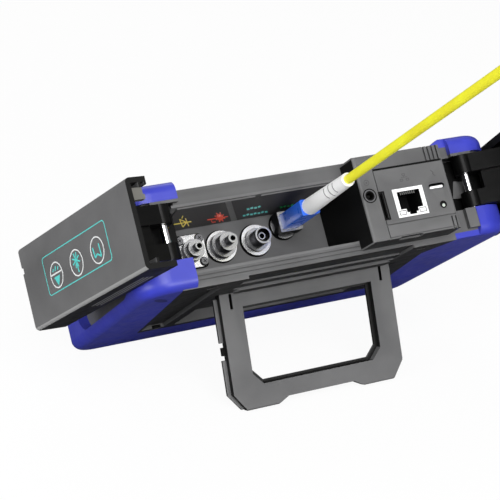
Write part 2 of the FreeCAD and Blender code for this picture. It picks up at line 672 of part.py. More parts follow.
def build_test_port():
    """The first test port: a flange and a square socket that grips the lead's plug."""
    port = body("test_port")
    turned(port, "test_turn", (0, 2.2), ("test_flange - 0.8", 2.2), ("test_flange - 0.8", "flange_wall"),
           ("test_flange", "flange_wall"), ("test_flange", 0), ("port_stem", 0), ("port_stem", STEM_END),
           (0, STEM_END))
    socket = sketch(port, "XZ_Plane", "test_socket_shape", -2.2)
    wide, tall = "plug_wide / 2 + 1.2", "plug_tall / 2 + 1.2"
    box_outline(socket, f"-({wide})", wide, f"-({tall})", tall)
    pad(port, "test_socket", socket, 7.8, True)
    hollow = sketch(port, "XZ_Plane", "test_hollow_shape", -10)
    box_outline(hollow, "-plug_wide / 2", "plug_wide / 2", "-plug_tall / 2", "plug_tall / 2")
    pocket(port, "test_hollow", hollow, 7, True)
    return node("test_port", port, facing("test_x", "test_z"))


# Port block: the box beside the bay, standing ahead of the housing.

def build_io_block():
    low_back, high_back = "bay_low", "bay_high"
    ahead = block("io_ahead", "bay_right", "block_right", 0, "face_y", "block_low", "block_high")
    behind = block("io_behind", "bay_right", "block_right", "face_y - 1", "block_depth", low_back, high_back)
    edge = softened("io_edge", ahead, 1.2, lambda at, run: at.y < 1)
    whole = join("io_whole", edge, behind)
    cuts = [
        block("io_seam", "seam_x - 0.3", "seam_x + 0.3", -1, "groove", "block_low - 1", "step_z"),
        block("io_step", "seam_x", "block_right + 1", -1, 0.8, "step_z", "block_high + 1"),
        block("io_line_low", "seam_x", "block_right + 1", -1, "groove", -20.7, -20.2),
        block("io_line_high", "seam_x", "block_right + 1", -1, "groove", -14.8, -14.3),
        block("io_slot", 28, 40, -1, 4, "block_low - 1", -20.7),
        rod("io_jack_bore", "y", 2.9, 13, "jack_x", -1, "jack_z"),
        block("io_card_bore", "card_x - card_wide / 2", "card_x + card_wide / 2", -1, 18,
              "card_z - card_long / 2", "card_z + card_long / 2"),
        block("io_network_bore", "network_x - network_wide / 2", "network_x + network_wide / 2", -1,
              "network_deep", "network_z - network_tall / 2", "network_z + network_tall / 2"),
        usb_slug("io_usb_bore", 0, "-1", "9"),
        rod("io_lamp_bore", "y", 1.5, 7, "lamp_x", -1, "lamp_z"),
    ]
    for number in range(4):
        x = 51.2 + 2.2 * number
        cuts.append(block(f"io_rib_top_{number}", x, x + 0.9, -1, 1.9, "step_z + 1", "block_high + 1"))
    for number in range(2):
        x = 56 + 2 * number
        cuts.append(block(f"io_rib_low_{number}", x, x + 0.8, -1, "groove + 0.5", "block_low - 1", -15.4))
    return node("io_block", cut("io_block", whole, *cuts))


def usb_slug(name, inset, start, end):
    """An oval bar of the data socket's shape, inset from its outside."""
    slab = block(name + "_slab", f"usb_x - usb_wide / 2 + {inset}", f"usb_x + usb_wide / 2 - {inset}", start, end,
                 f"usb_z - usb_tall / 2 + {inset}", f"usb_z + usb_tall / 2 - {inset}")
    return softened(name, slab, f"usb_tall / 2 - {inset} - 0.02", lambda at, run: runs_along(run, "y"))


def build_sockets():
    jack = cut("dc_jack", rod("dc_jack_body", "y", 2.9, 12, "jack_x", 0, "jack_z"),
               rod("dc_jack_bore", "y", 1.75, 11, "jack_x", -1, "jack_z"))
    pin = rod("dc_jack_pin", "y", 0.65, 9, "jack_x", 1.5, "jack_z")
    node("dc_jack", join("dc_jack_whole", jack, pin))
    reader = cut("card_reader", block("card_body", "card_x - card_wide / 2", "card_x + card_wide / 2", 0.8, 18,
                                      "card_z - card_long / 2", "card_z + card_long / 2"),
                 block("card_mouth", "card_x - 0.45", "card_x + 0.45", 0, 14, "card_z - 5.6", "card_z + 5.6"))
    node("card_reader", reader)
    x, z = "network_x", "network_z"
    shell = block("network_body", f"{x} - network_wide / 2", f"{x} + network_wide / 2", 0, "network_deep",
                  f"{z} - network_tall / 2", f"{z} + network_tall / 2")
    throat = block("network_throat", f"{x} - 5.9", f"{x} + 5.9", -1, 13, f"{z} - 3.1", f"{z} + 5.3")
    latch = block("network_latch", f"{x} - 3.1", f"{x} + 3.1", -1, 9, f"{z} - 4.9", f"{z} - 3")
    notch = block("network_notch", f"{x} - 1.9", f"{x} + 1.9", -1, 9, f"{z} - 6", f"{z} - 4.8")
    lamps = [block(f"network_lamp_{word}", f"{x} + {a}", f"{x} + {b}", -1, 0.5, f"{z} - 5.7", f"{z} - 3.6")
             for word, a, b in (("a", -6.9, -3.6), ("b", 3.6, 6.9))]
    jack_shell = cut("network_shell", shell, throat, latch, notch, *lamps)
    contacts = [block(f"network_contact_{i}", f"{x} - 3.75 + {i} * 1.02", f"{x} - 3.4 + {i} * 1.02", 1, 9,
                      f"{z} + 4.9", f"{z} + 5.3") for i in range(8)]
    node("network_jack", join("network_jack", jack_shell, *contacts))
    windows = [block(f"network_window_{word}", f"{x} + {a}", f"{x} + {b}", 0, 0.5, f"{z} - 5.7", f"{z} - 3.6")
               for word, a, b in (("a", -6.9, -3.6), ("b", 3.6, 6.9))]
    group("network_lamps", *windows)
    usb = cut("usb_shell", usb_slug("usb_outer", 0, "0", "9"), usb_slug("usb_inner", 0.35, "-1", "8"))
    tongue = block("usb_tongue", "usb_x - 3.3", "usb_x + 3.3", 0.6, 8.4, "usb_z - 0.35", "usb_z + 0.35")
    node("usb_socket", join("usb_socket", usb, tongue))
    group("charge_lamp", rod("charge_lamp_rod", "y", 1.5, 5.8, "lamp_x", 0.2, "lamp_z"))


# Hinges and covers: a slider on the hinge's arms runs in rails inside each cover.

def hinge_place(side, swing):
    """The place of a hinge part whose local origin is on the pin and which is drawn closed."""
    return Placement(Vector(side * mm("pin_x"), mm("pin_y"), 0), Rotation(Vector(0, 0, 1), side * swing))


def rest_swing(side):
    """How far a stowed cover stands from its closed direction."""
    return 90 - (LEFT_SPLAY if side < 0 else RIGHT_SPLAY)


def across(side, near, far):
    """Two expressions along the cover, from the pin towards its free end, in rising order."""
    return (near, far) if side < 0 else (f"-({far})", f"-({near})")


def build_pins():
    for side, word in ((-1, "left"), (1, "right")):
        group(f"{word}_hinge_pin", rod(f"{word}_pin_rod", "z", "pin_radius", "pin_high - pin_low",
                                       f"{side} * pin_x", "pin_y", "pin_low"))


def build_carriage(side, word):
    inner = "-(arm_reach - cover_wall - slider_play)"
    slider = block(f"{word}_slider", *across(side, "-slider_half", "slider_half"), inner, f"{inner} + slider",
                   "cover_low + cover_wall + slider_play", "cover_high - cover_wall - slider_play")
    slider = softened(f"{word}_slider_soft", slider, 1.4, lambda at, run: runs_along(run, "y"))
    pieces = [slider]
    upper = ("pocket_high - knuckle_gap - knuckle_high", "pocket_high - knuckle_gap")
    lower = ("pocket_low + knuckle_gap", "pocket_low + knuckle_gap + knuckle_low")
    for place_word, (z0, z1) in (("upper", upper), ("lower", lower)):
        pieces.append(rod(f"{word}_{place_word}_knuckle", "z", "knuckle", f"({z1}) - ({z0})", 0, 0, z0))
        pieces.append(block(f"{word}_{place_word}_arm", *across(side, "-(knuckle - 0.6)", "knuckle - 0.6"), inner,
                            0, z0, z1))
    rib = block(f"{word}_web", *across(side, -1.5, 1.5), inner, "-(knuckle + 3)", "pocket_low + knuckle_gap + 1",
                "pocket_high - knuckle_gap - 1")
    whole = join(f"{word}_carriage_solid", *pieces, rib)
    bore = rod(f"{word}_carriage_bore", "z", "pin_radius + pin_play", "pocket_high - pocket_low + 2", 0, 0,
               "pocket_low - 1")
    node(f"{word}_carriage", cut(f"{word}_carriage", whole, bore), hinge_place(side, rest_swing(side)))


def build_cover(side, word, length):
    """A channel with guide rails inside, a closed outer end and a notched edge."""
    cover = body(f"{word}_cover")
    outer, depth, top = "-arm_reach", "-arm_reach + cover_deep", "-arm_reach + cover_top"
    wall = "cover_wall"
    x0, x1 = across(side, f"cover_ahead - {length}", "cover_ahead")
    profile = sketch(cover, "YZ_Plane", f"{word}_cover_profile", x0)
    rail_near = f"{outer} + {wall} + slider + 2 * slider_play"
    rail_far = f"{rail_near} + rail"
    low_in, high_in = f"cover_low + {wall}", f"cover_high - {wall}"
    outline(profile, (outer, "cover_low"), (depth, "cover_low"), (depth, low_in), (rail_far, low_in),
            (rail_far, f"{low_in} + rail_tall"), (rail_near, f"{low_in} + rail_tall"), (rail_near, low_in),
            (f"{outer} + {wall}", low_in), (f"{outer} + {wall}", high_in), (rail_near, high_in),
            (rail_near, f"{high_in} - rail_tall"), (rail_far, f"{high_in} - rail_tall"), (rail_far, high_in),
            (f"{top} - rail", high_in), (f"{top} - rail", f"{high_in} - 1.3"), (top, f"{high_in} - 1.3"),
            (top, "cover_high"), (outer, "cover_high"))
    pad(cover, f"{word}_cover_channel", profile, length)
    limit = mm(outer) + 0.1
    low, high = mm("cover_low") + 0.1, mm("cover_high") - 0.1
    fillet(cover, f"{word}_cover_long_edges", "cover_round",
           lambda at, run: runs_along(run, "x") and at.y < limit and (at.z < low or at.z > high))
    end = sketch(cover, "YZ_Plane", f"{word}_cover_end_profile", x0 if side < 0 else f"({x1}) - {wall}")
    box_outline(end, f"{outer} + {wall} / 2", f"{depth} - 2.5", f"cover_low + {wall} / 2", f"cover_high - {wall} / 2")
    pad(cover, f"{word}_cover_end", end, wall)
    for number in range(3):
        slot = sketch(cover, "XY_Plane", f"{word}_grip_{number}_shape", "cover_low")
        y = f"{depth} - 3.4 - {number} * 2.2"
        box_outline(slot, *across(side, "cover_ahead - 66", "cover_ahead - 16"), f"{y} - 0.6", f"{y} + 0.6")
        pocket(cover, f"{word}_grip_{number}", slot, 0.7, True)
    notch = sketch(cover, "XZ_Plane", f"{word}_notch_shape", "arm_reach + 1")
    box_outline(notch, *across(side, f"cover_ahead - {length} - 1", f"cover_ahead - {length} + 1.4"),
                "cover_high - 12.5", "cover_high - 9.5")
    pocket(cover, f"{word}_notch", notch, "cover_wall + 2")
    node(f"{word}_cover", cover, hinge_place(side, rest_swing(side)))
    foot = block(f"{word}_clip_foot", *across(side, "cover_ahead - 6", "cover_ahead - 0.6"), f"{outer} + {wall}",
                 f"{outer} + 7.6", f"cover_high - {wall} - 5.4", f"cover_high - {wall} - rail_tall")
    tooth = block(f"{word}_clip_tooth", *across(side, "cover_ahead - 4", "cover_ahead - 0.6"), f"{outer} + {wall}",
                  f"{outer} + 8.4", f"cover_high - {wall} - 7.4", f"cover_high - {wall} - 5.2")
    node(f"{word}_cover_clip", join(f"{word}_cover_clip", foot, tooth), hinge_place(side, rest_swing(side)))


# Kickstand: drawn folded flat, with its pivot on the local X axis and its foot towards +Y.

def stand_place():
    return Placement(Vector(mm("stand_x"), mm("stand_y"), mm("stand_z")), Rotation(Vector(1, 0, 0), -STAND_OPENING))


def stand_window(drawing, inset):
    """The kickstand's window, smaller all round by an inset."""
    inner, lower = f"stand_half - stand_leg - {inset}", f"stand_long - stand_foot - stand_bar - {inset}"
    upper = f"stand_head + stand_top + {inset}"
    outline(drawing, (f"-({inner})", upper), (inner, upper), (inner, f"{lower} - 5.4"), (f"{inner} - 4.8", lower),
            (f"-({inner} - 4.8)", lower), (f"-({inner})", f"{lower} - 5.4"))


def build_stand():
    """A bevelled frame on two feet, with a wider flange behind its face."""
    stand = body("stand")
    frame = sketch(stand, "XY_Plane", "stand_frame", "-stand_thick / 2")
    half, foot = "stand_half", "stand_long - stand_foot"
    outline(frame, (f"-{half}", "-stand_head"), (half, "-stand_head"), (half, "stand_long - stand_corner"),
            (f"{half} - 6", "stand_long"), (f"{half} - 22", "stand_long"), (f"{half} - 27.6", foot),
            (f"-{half} + 27.6", foot), (f"-{half} + 22", "stand_long"), (f"-{half} + 6", "stand_long"),
            (f"-{half}", "stand_long - stand_corner"))
    pad(stand, "stand_plate", frame, "stand_thick")
    back = sketch(stand, "XY_Plane", "stand_flange_shape", "stand_thick / 2 - stand_flange")
    wide, start = f"{half} + stand_rim", "stand_pin + 2"
    outline(back, (f"-({wide})", start), (wide, start), (wide, "stand_long - stand_corner"),
            (f"{wide} - 6", "stand_long - 0.6"), (f"-({wide} - 6)", "stand_long - 0.6"),
            (f"-({wide})", "stand_long - stand_corner"))
    pad(stand, "stand_flange_pad", back, "stand_flange")
    arch = sketch(stand, "XY_Plane", "stand_arch_shape", "stand_thick / 2")
    outline(arch, (f"-{half} + 22", "stand_long"), (f"-{half} + 27.6", foot), (f"{half} - 27.6", foot),
            (f"{half} - 22", "stand_long"))
    pocket(stand, "stand_arch", arch, "stand_thick")
    narrow = sketch(stand, "XY_Plane", "stand_window_back", "stand_thick / 2")
    stand_window(narrow, 1.4)
    pocket(stand, "stand_window_back_cut", narrow, "stand_thick")
    window = sketch(stand, "XY_Plane", "stand_window_face", "stand_thick / 2 - stand_flange")
    stand_window(window, 0)
    pocket(stand, "stand_window_face_cut", window, "stand_thick")
    for sign, word in ((-1, "left"), (1, "right")):
        slot = sketch(stand, "XY_Plane", f"stand_{word}_slot", "stand_thick / 2")
        middle = f"{sign} * (stand_half - 5.4)"
        box_outline(slot, f"{middle} - 0.7", f"{middle} + 0.7", 1.8, 9)
        pocket(stand, f"stand_{word}_slot_cut", slot, "stand_thick")
    bores = sketch(stand, "YZ_Plane", "stand_bores", "-stand_half - 1")
    circle(bores, 0, 0, "stand_pin + pin_play")
    pocket(stand, "stand_bore_left", bores, 5.2, True)
    other = sketch(stand, "YZ_Plane", "stand_bores_right", "stand_half + 1")
    circle(other, 0, 0, "stand_pin + pin_play")
    pocket(stand, "stand_bore_right", other, 5.2)
    nick = sketch(stand, "XY_Plane", "stand_nick_shape", "stand_thick / 2")
    box_outline(nick, f"-({wide}) - 1", "-stand_half", 24, 32.3)
    pocket(stand, "stand_nick", nick, "stand_flange")
    head, foot_y = -mm("stand_head") + 0.1, mm("stand_long") - 0.1
    fillet(stand, "stand_head_round", "stand_head - 0.1",
           lambda at, run: runs_along(run, "x") and at.y < head)
    fillet(stand, "stand_foot_round", "foot_round",
           lambda at, run: runs_along(run, "x") and at.y > foot_y and at.z < 0)
    node("stand", stand, stand_place())
    clip = block("stand_clip_block", "-stand_half - stand_rim + 0.3", "-stand_half", 26.2, 30,
                 "stand_thick / 2 - stand_flange - 0.8", "stand_thick / 2 - 0.2")
    holder = doc.addObject("Part::Compound", "stand_clip")
    holder.Links = [clip]
    node("stand_clip", holder, stand_place())
    pins = []
    for sign, word in ((-1, "left"), (1, "right")):
        start = "stand_half - 4.2"
        x = f"stand_x + {start}" if sign > 0 else f"stand_x - ({start} + stand_pin_long)"
        pins.append(rod(f"stand_pin_{word}", "x", "stand_pin", "stand_pin_long", x, "stand_y", "stand_z"))
    group("stand_pins", *pins)


def build_fasteners():
    posts = []
    for sign in (-1, 1):
        side = "half_width - bumper_wall"
        x = side if sign > 0 else f"-({side} + 3.4)"
        posts.append(rod(f"strap_post_{'left' if sign < 0 else 'right'}", "x", 2.2, 3.4, x, 34, -12))
    group("strap_posts", *posts)
    screws = []
    for number, (x, y) in enumerate(SCREWS):
        screws.append(rod(f"rear_screw_{number}", "z", 2.5, 1, x, y, "back_z + 0.2"))
    group("rear_screws", *screws)


# Lead: the optical cable plugged into the first test port.

def build_lead():
    """The plug in the first test port, with its strain relief."""
    x, z = "test_x", "test_z"
    plug = block("plug_slab", f"{x} - plug_wide / 2", f"{x} + plug_wide / 2", "plug_front", "panel_y - 3",
                 f"{z} - plug_tall / 2", f"{z} + plug_tall / 2")
    edge = softened("plug_soft", plug, 0.8, lambda at, run: runs_along(run, "y"))
    group("lead_plug", edge)
    boot = doc.addObject("Part::Cone", "boot_cone")
    boot.Placement = Placement(Vector(), TURNS["y"])
    bind(boot, Radius1="boot_tip", Radius2="boot_radius", Height="boot_long")
    group("lead_boot", place(boot, x, "plug_front - boot_long", z))


# Route of the lead: straight out of its strain relief, then over, down and into the coil. After the
# straight stretch each point is given by its way from the exit along the ground, and its height.

STRAIGHT = 175
ROUTE = [
    (1.3, -190, 203),
    (3.3, -214, 158),
    (4.3, -219.5, 110),
    (4.3, -217, 68),
    (4.3, -209.5, 24),
    (3.3, -189.5, 2.2),
    (2.3, -168.5, 2.2),
]
COIL_TURNS = 2
COIL_LAYERS = 2
COIL_MIDDLE = 25.86
TAIL = 18
FAR_BOOT = 26
FAR_PLUG = 25


def rounded_path(points):
    """Straight runs joined by arcs that are as large as the runs allow."""
    edges = []
    radii = []
    start = points[0]
    for before, corner, after in zip(points, points[1:], points[2:]):
        back, ahead = before - corner, after - corner
        reach = 0.45 * min(back.Length, ahead.Length)
        half_turn = (pi - back.getAngle(ahead)) / 2
        radii.append(reach / tan(half_turn))
        first = corner + back.normalize() * reach
        last = corner + ahead.normalize() * reach
        middle_way = (back + ahead).normalize()
        middle = corner + middle_way * (radii[-1] / cos(half_turn) - radii[-1])
        edges.append(Part.LineSegment(start, first).toShape())
        edges.append(Part.Arc(first, middle, last).toShape())
        start = last
    edges.append(Part.LineSegment(start, points[-1]).toShape())
    return Part.Wire(edges), radii


def tube(label, points):
    """A round cable along a path, in the frame of the ground."""
    wire, radii = rounded_path(points)
    radius = mm("cable_radius")
    ring = Part.Wire(Part.makeCircle(radius, points[0], points[1] - points[0]))
    cable = doc.addObject("Part::Feature", label)
    cable.Shape = wire.makePipeShell([ring], True, True)
    share = cable.Shape.Volume / (pi * radius ** 2 * wire.Length)
    print(label, "length", round(wire.Length, 1), "share", round(share, 4), "radii", [round(r, 1) for r in radii])
    return cable


def build_free_lead(exit_point, way_out):
    """The free lead, its put-away coil and its far plug, lying on the ground."""
    points = [exit_point, exit_point + way_out * STRAIGHT]
    points += [Vector(exit_point.x + x, exit_point.y + y, height) for x, y, height in ROUTE]
    print("route", [tuple(round(value, 1) for value in point) for point in points])
    grown = [tube("lead_cable", points)]
    radius = mm("cable_radius")
    pitch = 2 * radius + 0.2
    across_all = COIL_TURNS * pitch
    entry = points[-1]
    middle = Vector(entry.x + COIL_MIDDLE + across_all / 2, entry.y, 0)
    outer = COIL_MIDDLE + across_all / 2 + radius + 0.5
    inner = COIL_MIDDLE - across_all / 2 - radius - 0.1
    height = COIL_LAYERS * pitch
    coil = doc.addObject("Part::Feature", "lead_coil")
    coil.Shape = Part.makeCylinder(outer, height, middle).cut(Part.makeCylinder(inner, height, middle))
    grown.append(coil)
    side = middle.y + COIL_MIDDLE + across_all / 2 + 0.4
    boot_low = mm("boot_radius") + 0.1
    boot_at = Vector(middle.x + TAIL, side, boot_low)
    grown.append(tube("lead_tail", [Vector(middle.x + 1, side, height - radius), boot_at]))
    boot = Part.makeCone(mm("boot_tip"), mm("boot_radius"), FAR_BOOT, boot_at, Vector(1, 0, 0))
    wide, tall = mm("plug_wide"), mm("plug_tall")
    plug_at = boot_at + Vector(FAR_BOOT, -wide / 2, -tall / 2)
    plug = Part.makeBox(FAR_PLUG, wide, tall, plug_at)
    end = doc.addObject("Part::Feature", "lead_far_plug")
    end.Shape = boot.fuse(plug)
    grown.append(end)
    return grown


build_bumper()
build_rear_housing()
build_front_housing()
build_seal()
build_inside()
build_keys()
build_port_bay()
build_label_strips()
build_ports()
build_test_port()
build_io_block()
build_sockets()
build_pins()
for hinge_side, hinge_word, hinge_length in ((-1, "left", "cover_left"), (1, "right", "cover_right")):
    build_carriage(hinge_side, hinge_word)
    build_cover(hinge_side, hinge_word, hinge_length)
build_stand()
build_fasteners()
build_lead()
doc.recompute()


def leaning():
    """The lean at which the foot and the far edge stand on one level: a tangent to two roundings."""
    opening = radians(STAND_OPENING)
    reach = mm("stand_long - foot_round")
    off = mm("stand_thick / 2 - foot_round")
    foot_y = mm("stand_y") + reach * cos(opening) + off * sin(opening)
    foot_z = mm("stand_z") - reach * sin(opening) + off * cos(opening)
    edge_y, edge_z = mm("far_end - bumper_round"), mm("back_z + bumper_round")
    span_y, span_z = edge_y - foot_y, foot_z - edge_z
    return asin((mm("foot_round") - mm("bumper_round")) / hypot(span_y, span_z)) - atan2(span_z, span_y)


lean = Placement(Vector(), Rotation(Vector(1, 0, 0), -degrees(leaning())))
for label, piece, own in NODES:
    piece.Label = label
    piece.Placement = lean.multiply(own)
doc.recompute()

whole = FreeCAD.BoundBox()
for label, piece, own in NODES:
    if not label.startswith("lead_"):
        whole.add(piece.Shape.optimalBoundingBox(False))
shift = Vector(-(whole.XMin + whole.XMax) / 2, -(whole.YMin + whole.YMax) / 2, -whole.ZMin)
stood = Placement(shift, lean.Rotation)
for label, piece, own in NODES:
    piece.Placement = stood.multiply(own)
doc.recompute()

exit_point = stood.multVec(Vector(mm("test_x"), mm("plug_front - boot_long"), mm("test_z")))
way_out = stood.Rotation.multVec(Vector(0, -1, 0))
for free in build_free_lead(exit_point, way_out):
    NODES.append((free.Name, free, UNIT))

broken = [item.Name for item in doc.Objects if "Invalid" in item.State or "Error" in item.State]
for label, piece, own in NODES:
    if piece.Shape.isNull() or not piece.Shape.isValid() or not piece.Shape.Solids:
        broken.append(label)
if broken:
    raise RuntimeError("these pieces failed: " + ", ".join(broken))

os.makedirs("parts", exist_ok=True)
for label, piece, own in NODES:
    piece.Shape.exportStep(f"parts/{label}.step")
print(len(NODES), "pieces; stood at", stood, "lean", degrees(leaning()))
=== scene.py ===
"""Dresses the reflectometer: finishes, printed marks, small parts, the lead, lights and camera."""
import json
from math import cos, pi, radians, sin

import bmesh
import bpy
from mathutils import Matrix, Vector


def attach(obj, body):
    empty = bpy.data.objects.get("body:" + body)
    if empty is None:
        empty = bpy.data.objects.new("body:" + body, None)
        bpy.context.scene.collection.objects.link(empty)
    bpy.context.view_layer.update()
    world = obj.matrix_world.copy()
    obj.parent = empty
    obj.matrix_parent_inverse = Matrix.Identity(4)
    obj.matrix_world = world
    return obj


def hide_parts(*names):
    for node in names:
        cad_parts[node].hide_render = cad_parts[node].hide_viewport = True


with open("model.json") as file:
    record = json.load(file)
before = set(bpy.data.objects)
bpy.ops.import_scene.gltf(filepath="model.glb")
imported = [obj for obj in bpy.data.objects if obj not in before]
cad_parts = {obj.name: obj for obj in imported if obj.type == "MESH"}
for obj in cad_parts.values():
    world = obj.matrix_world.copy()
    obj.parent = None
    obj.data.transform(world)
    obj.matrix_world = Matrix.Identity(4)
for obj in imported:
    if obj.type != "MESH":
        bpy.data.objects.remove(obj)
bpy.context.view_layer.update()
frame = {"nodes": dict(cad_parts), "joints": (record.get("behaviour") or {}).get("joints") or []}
MM = 0.001

# The unit's own frame: X across, Y away from the ports, Z towards the screen, found from a hinge.
# The lengths of the pieces below are millimetres in it, or in a frame held to it.

PIN_X = 78 * MM
PIN_Y = 14 * MM
LEFT_SWING = radians(-78.6)
RIGHT_SWING = radians(81.0)
STAND_SWING = radians(-75.6)
LEFT_HINGE = next(joint for joint in frame["joints"] if joint["name"] == "left_cover_hinge")
ACROSS = Vector((1, 0, 0))
TOWARDS_SCREEN = Vector(LEFT_HINGE["axis"]).normalized()
AWAY = TOWARDS_SCREEN.cross(ACROSS)
ORIGIN = Vector(LEFT_HINGE["pos_m"]) + PIN_X * ACROSS - PIN_Y * AWAY
UNIT = Matrix.Translation(ORIGIN) @ Matrix((ACROSS, AWAY, TOWARDS_SCREEN)).transposed().to_4x4()
PANEL_DEPTH = 46
METER_PLATE = 1.6


def cover_frame(side, swing):
    """A cover's frame: its pin at the origin, its outside at negative Y, drawn as if shut."""
    return UNIT @ Matrix.Translation((side * PIN_X, PIN_Y, 0)) @ Matrix.Rotation(swing, 4, "Z")


def way(place, *direction):
    """A direction given in a frame, as the object sees it."""
    return place.to_3x3() @ Vector(direction)


LEFT_COVER = cover_frame(-1, LEFT_SWING)
RIGHT_COVER = cover_frame(1, RIGHT_SWING)
STAND = UNIT @ Matrix.Rotation(STAND_SWING, 4, "X")


# Finishes: how coarse each kind of noise is, between which of its values it works, and how much

CLOUD_SCALE, CLOUD_SPAN, CLOUD_DARK, CLOUD_LIGHT = 60, (0.35, 0.65), 0.9, 1.08
SHEEN_SCALE, SHEEN_SPAN, SHEEN_SPREAD = 240, (0.3, 0.7), 0.05
GRAIN_SCALE, GRAIN_DETAIL, GRAIN_STRENGTH, GRAIN_DEPTH = 2600, 3, 0.12, 0.05 * MM
EDGE_SPAN, EDGE_LIGHTER = (0.52, 0.62), 0.25
TURNING_SCALE, TURNING_DARK = 300, 0.95
BRUSH_SCALE, BRUSH_SPREAD = 900, 0.02
INK_SCALE, INK_SPAN, INK_THIN, INK_ROUGHNESS = 1500, (0.3, 0.5), 0.8, 0.45
GLASS_SCALE, GLASS_SPAN = 30, (0.4, 0.6)
GLASS_DARK, GLASS_LIGHT = (0.006, 0.006, 0.008), (0.012, 0.013, 0.016)
GLASS_ROUGHNESS, COAT_WEIGHT, COAT_ROUGHNESS = 0.06, 0.6, 0.03
FACING = 0.75
FACING_CLOSELY = 0.9
FACING_FULLY = 0.97


def new_material(name):
    made = bpy.data.materials.new(name)
    made.use_nodes = True
    return made, made.node_tree.nodes, made.node_tree.links, made.node_tree.nodes["Principled BSDF"]


def noise(nodes, links, scale, detail=2.0):
    """Noise laid through the object in its own metres."""
    place = nodes.new("ShaderNodeTexCoord")
    texture = nodes.new("ShaderNodeTexNoise")
    texture.inputs["Scale"].default_value = scale
    texture.inputs["Detail"].default_value = detail
    links.new(place.outputs["Object"], texture.inputs["Vector"])
    return texture.outputs["Fac"]


def ramp(nodes, links, source, span, dark, light):
    """A colour that runs from dark to light as the source runs through a span."""
    stops = nodes.new("ShaderNodeValToRGB")
    for stop, position, tone in zip(stops.color_ramp.elements, span, (dark, light)):
        stop.position = position
        stop.color = (*tone, 1)
    links.new(source, stops.inputs["Fac"])
    return stops.outputs["Color"]


def clouds(nodes, links, scale, span, dark, light):
    """A colour that wanders between dark and light."""
    return ramp(nodes, links, noise(nodes, links, scale), span, dark, light)


def colour_mix(nodes, links, share, first, second):
    """A mix of two colours by a share. Each is a socket or a plain tone."""
    mix = nodes.new("ShaderNodeMix")
    mix.data_type = "RGBA"
    links.new(share, mix.inputs["Factor"])
    for name, source in (("A", first), ("B", second)):
        if isinstance(source, bpy.types.NodeSocket):
            links.new(source, mix.inputs[name])
        else:
            mix.inputs[name].default_value = (*source, 1)
    return mix.outputs["Result"]


def moulded(name, colour, roughness, grain=1.0, wear=0.12, shine=0.5):
    """Moulded plastic or rubber: a fine spark grain, slight cloudiness and lighter worn edges."""
    made, nodes, links, shader = new_material(name)
    shader.inputs["Specular IOR Level"].default_value = shine
    darker = tuple(CLOUD_DARK * value for value in colour)
    lighter = tuple(min(1, CLOUD_LIGHT * value) for value in colour)
    worn = tuple(min(1, value + EDGE_LIGHTER) for value in colour)
    body = clouds(nodes, links, CLOUD_SCALE, CLOUD_SPAN, darker, lighter)
    edges = nodes.new("ShaderNodeNewGeometry").outputs["Pointiness"]
    edge_share = ramp(nodes, links, edges, EDGE_SPAN, (0, 0, 0), (wear,) * 3)
    links.new(colour_mix(nodes, links, edge_share, body, worn), shader.inputs["Base Color"])
    links.new(clouds(nodes, links, SHEEN_SCALE, SHEEN_SPAN, (roughness - SHEEN_SPREAD,) * 3,
                     (roughness + SHEEN_SPREAD,) * 3), shader.inputs["Roughness"])
    if grain:
        bump = nodes.new("ShaderNodeBump")
        bump.inputs["Strength"].default_value = GRAIN_STRENGTH * grain
        bump.inputs["Distance"].default_value = GRAIN_DEPTH
        links.new(noise(nodes, links, GRAIN_SCALE, GRAIN_DETAIL), bump.inputs["Height"])
        links.new(bump.outputs["Normal"], shader.inputs["Normal"])
    return made


def paint_light_by_facing(made, colour, sides, limit=FACING, within=()):
    """Paints light and shade into a finish: a second colour on the sides that face given ways,
    within some planes.
    """
    nodes, links = made.node_tree.nodes, made.node_tree.links
    shader = nodes["Principled BSDF"]
    place = nodes.new("ShaderNodeTexCoord")

    def compared(output, axis, level, comparison):
        along = nodes.new("ShaderNodeVectorMath")
        along.operation = "DOT_PRODUCT"
        along.inputs[1].default_value = axis
        links.new(place.outputs[output], along.inputs[0])
        result = nodes.new("ShaderNodeMath")
        result.operation = comparison
        result.inputs[1].default_value = level
        links.new(along.outputs["Value"], result.inputs[0])
        return result.outputs["Value"]

    source = shader.inputs["Base Color"].links[0].from_socket
    for side in sides:
        share = compared("Normal", side, limit, "GREATER_THAN")
        for axis, level in within:
            both = nodes.new("ShaderNodeMath")
            both.operation = "MULTIPLY"
            links.new(share, both.inputs[0])
            links.new(compared("Object", axis, level, "LESS_THAN"), both.inputs[1])
            share = both.outputs["Value"]
        source = colour_mix(nodes, links, share, source, colour)
    links.new(source, shader.inputs["Base Color"])
    return made


def metal(name, colour, roughness):
    """Plated or brushed metal with faint turning marks."""
    made, nodes, links, shader = new_material(name)
    shader.inputs["Metallic"].default_value = 1
    darker = tuple(TURNING_DARK * value for value in colour)
    tone = clouds(nodes, links, TURNING_SCALE, CLOUD_SPAN, darker, colour)
    links.new(tone, shader.inputs["Base Color"])
    spread = clouds(nodes, links, BRUSH_SCALE, SHEEN_SPAN, (roughness,) * 3,
                    (roughness + BRUSH_SPREAD,) * 3)
    links.new(spread, shader.inputs["Roughness"])
    return made


def printed(name, colour):
    """Screen-printed ink, with tiny breaks in its cover."""
    made, nodes, links, shader = new_material(name)
    thin = tuple(INK_THIN * value for value in colour)
    links.new(clouds(nodes, links, INK_SCALE, INK_SPAN, thin, colour), shader.inputs["Base Color"])
    shader.inputs["Roughness"].default_value = INK_ROUGHNESS
    return made


def screen_glass(name):
    """Dark glass with a clear coat."""
    made, nodes, links, shader = new_material(name)
    tone = clouds(nodes, links, GLASS_SCALE, GLASS_SPAN, GLASS_DARK, GLASS_LIGHT)
    links.new(tone, shader.inputs["Base Color"])
    shader.inputs["Roughness"].default_value = GLASS_ROUGHNESS
    shader.inputs["Coat Weight"].default_value = COAT_WEIGHT
    shader.inputs["Coat Roughness"].default_value = COAT_ROUGHNESS
    return made
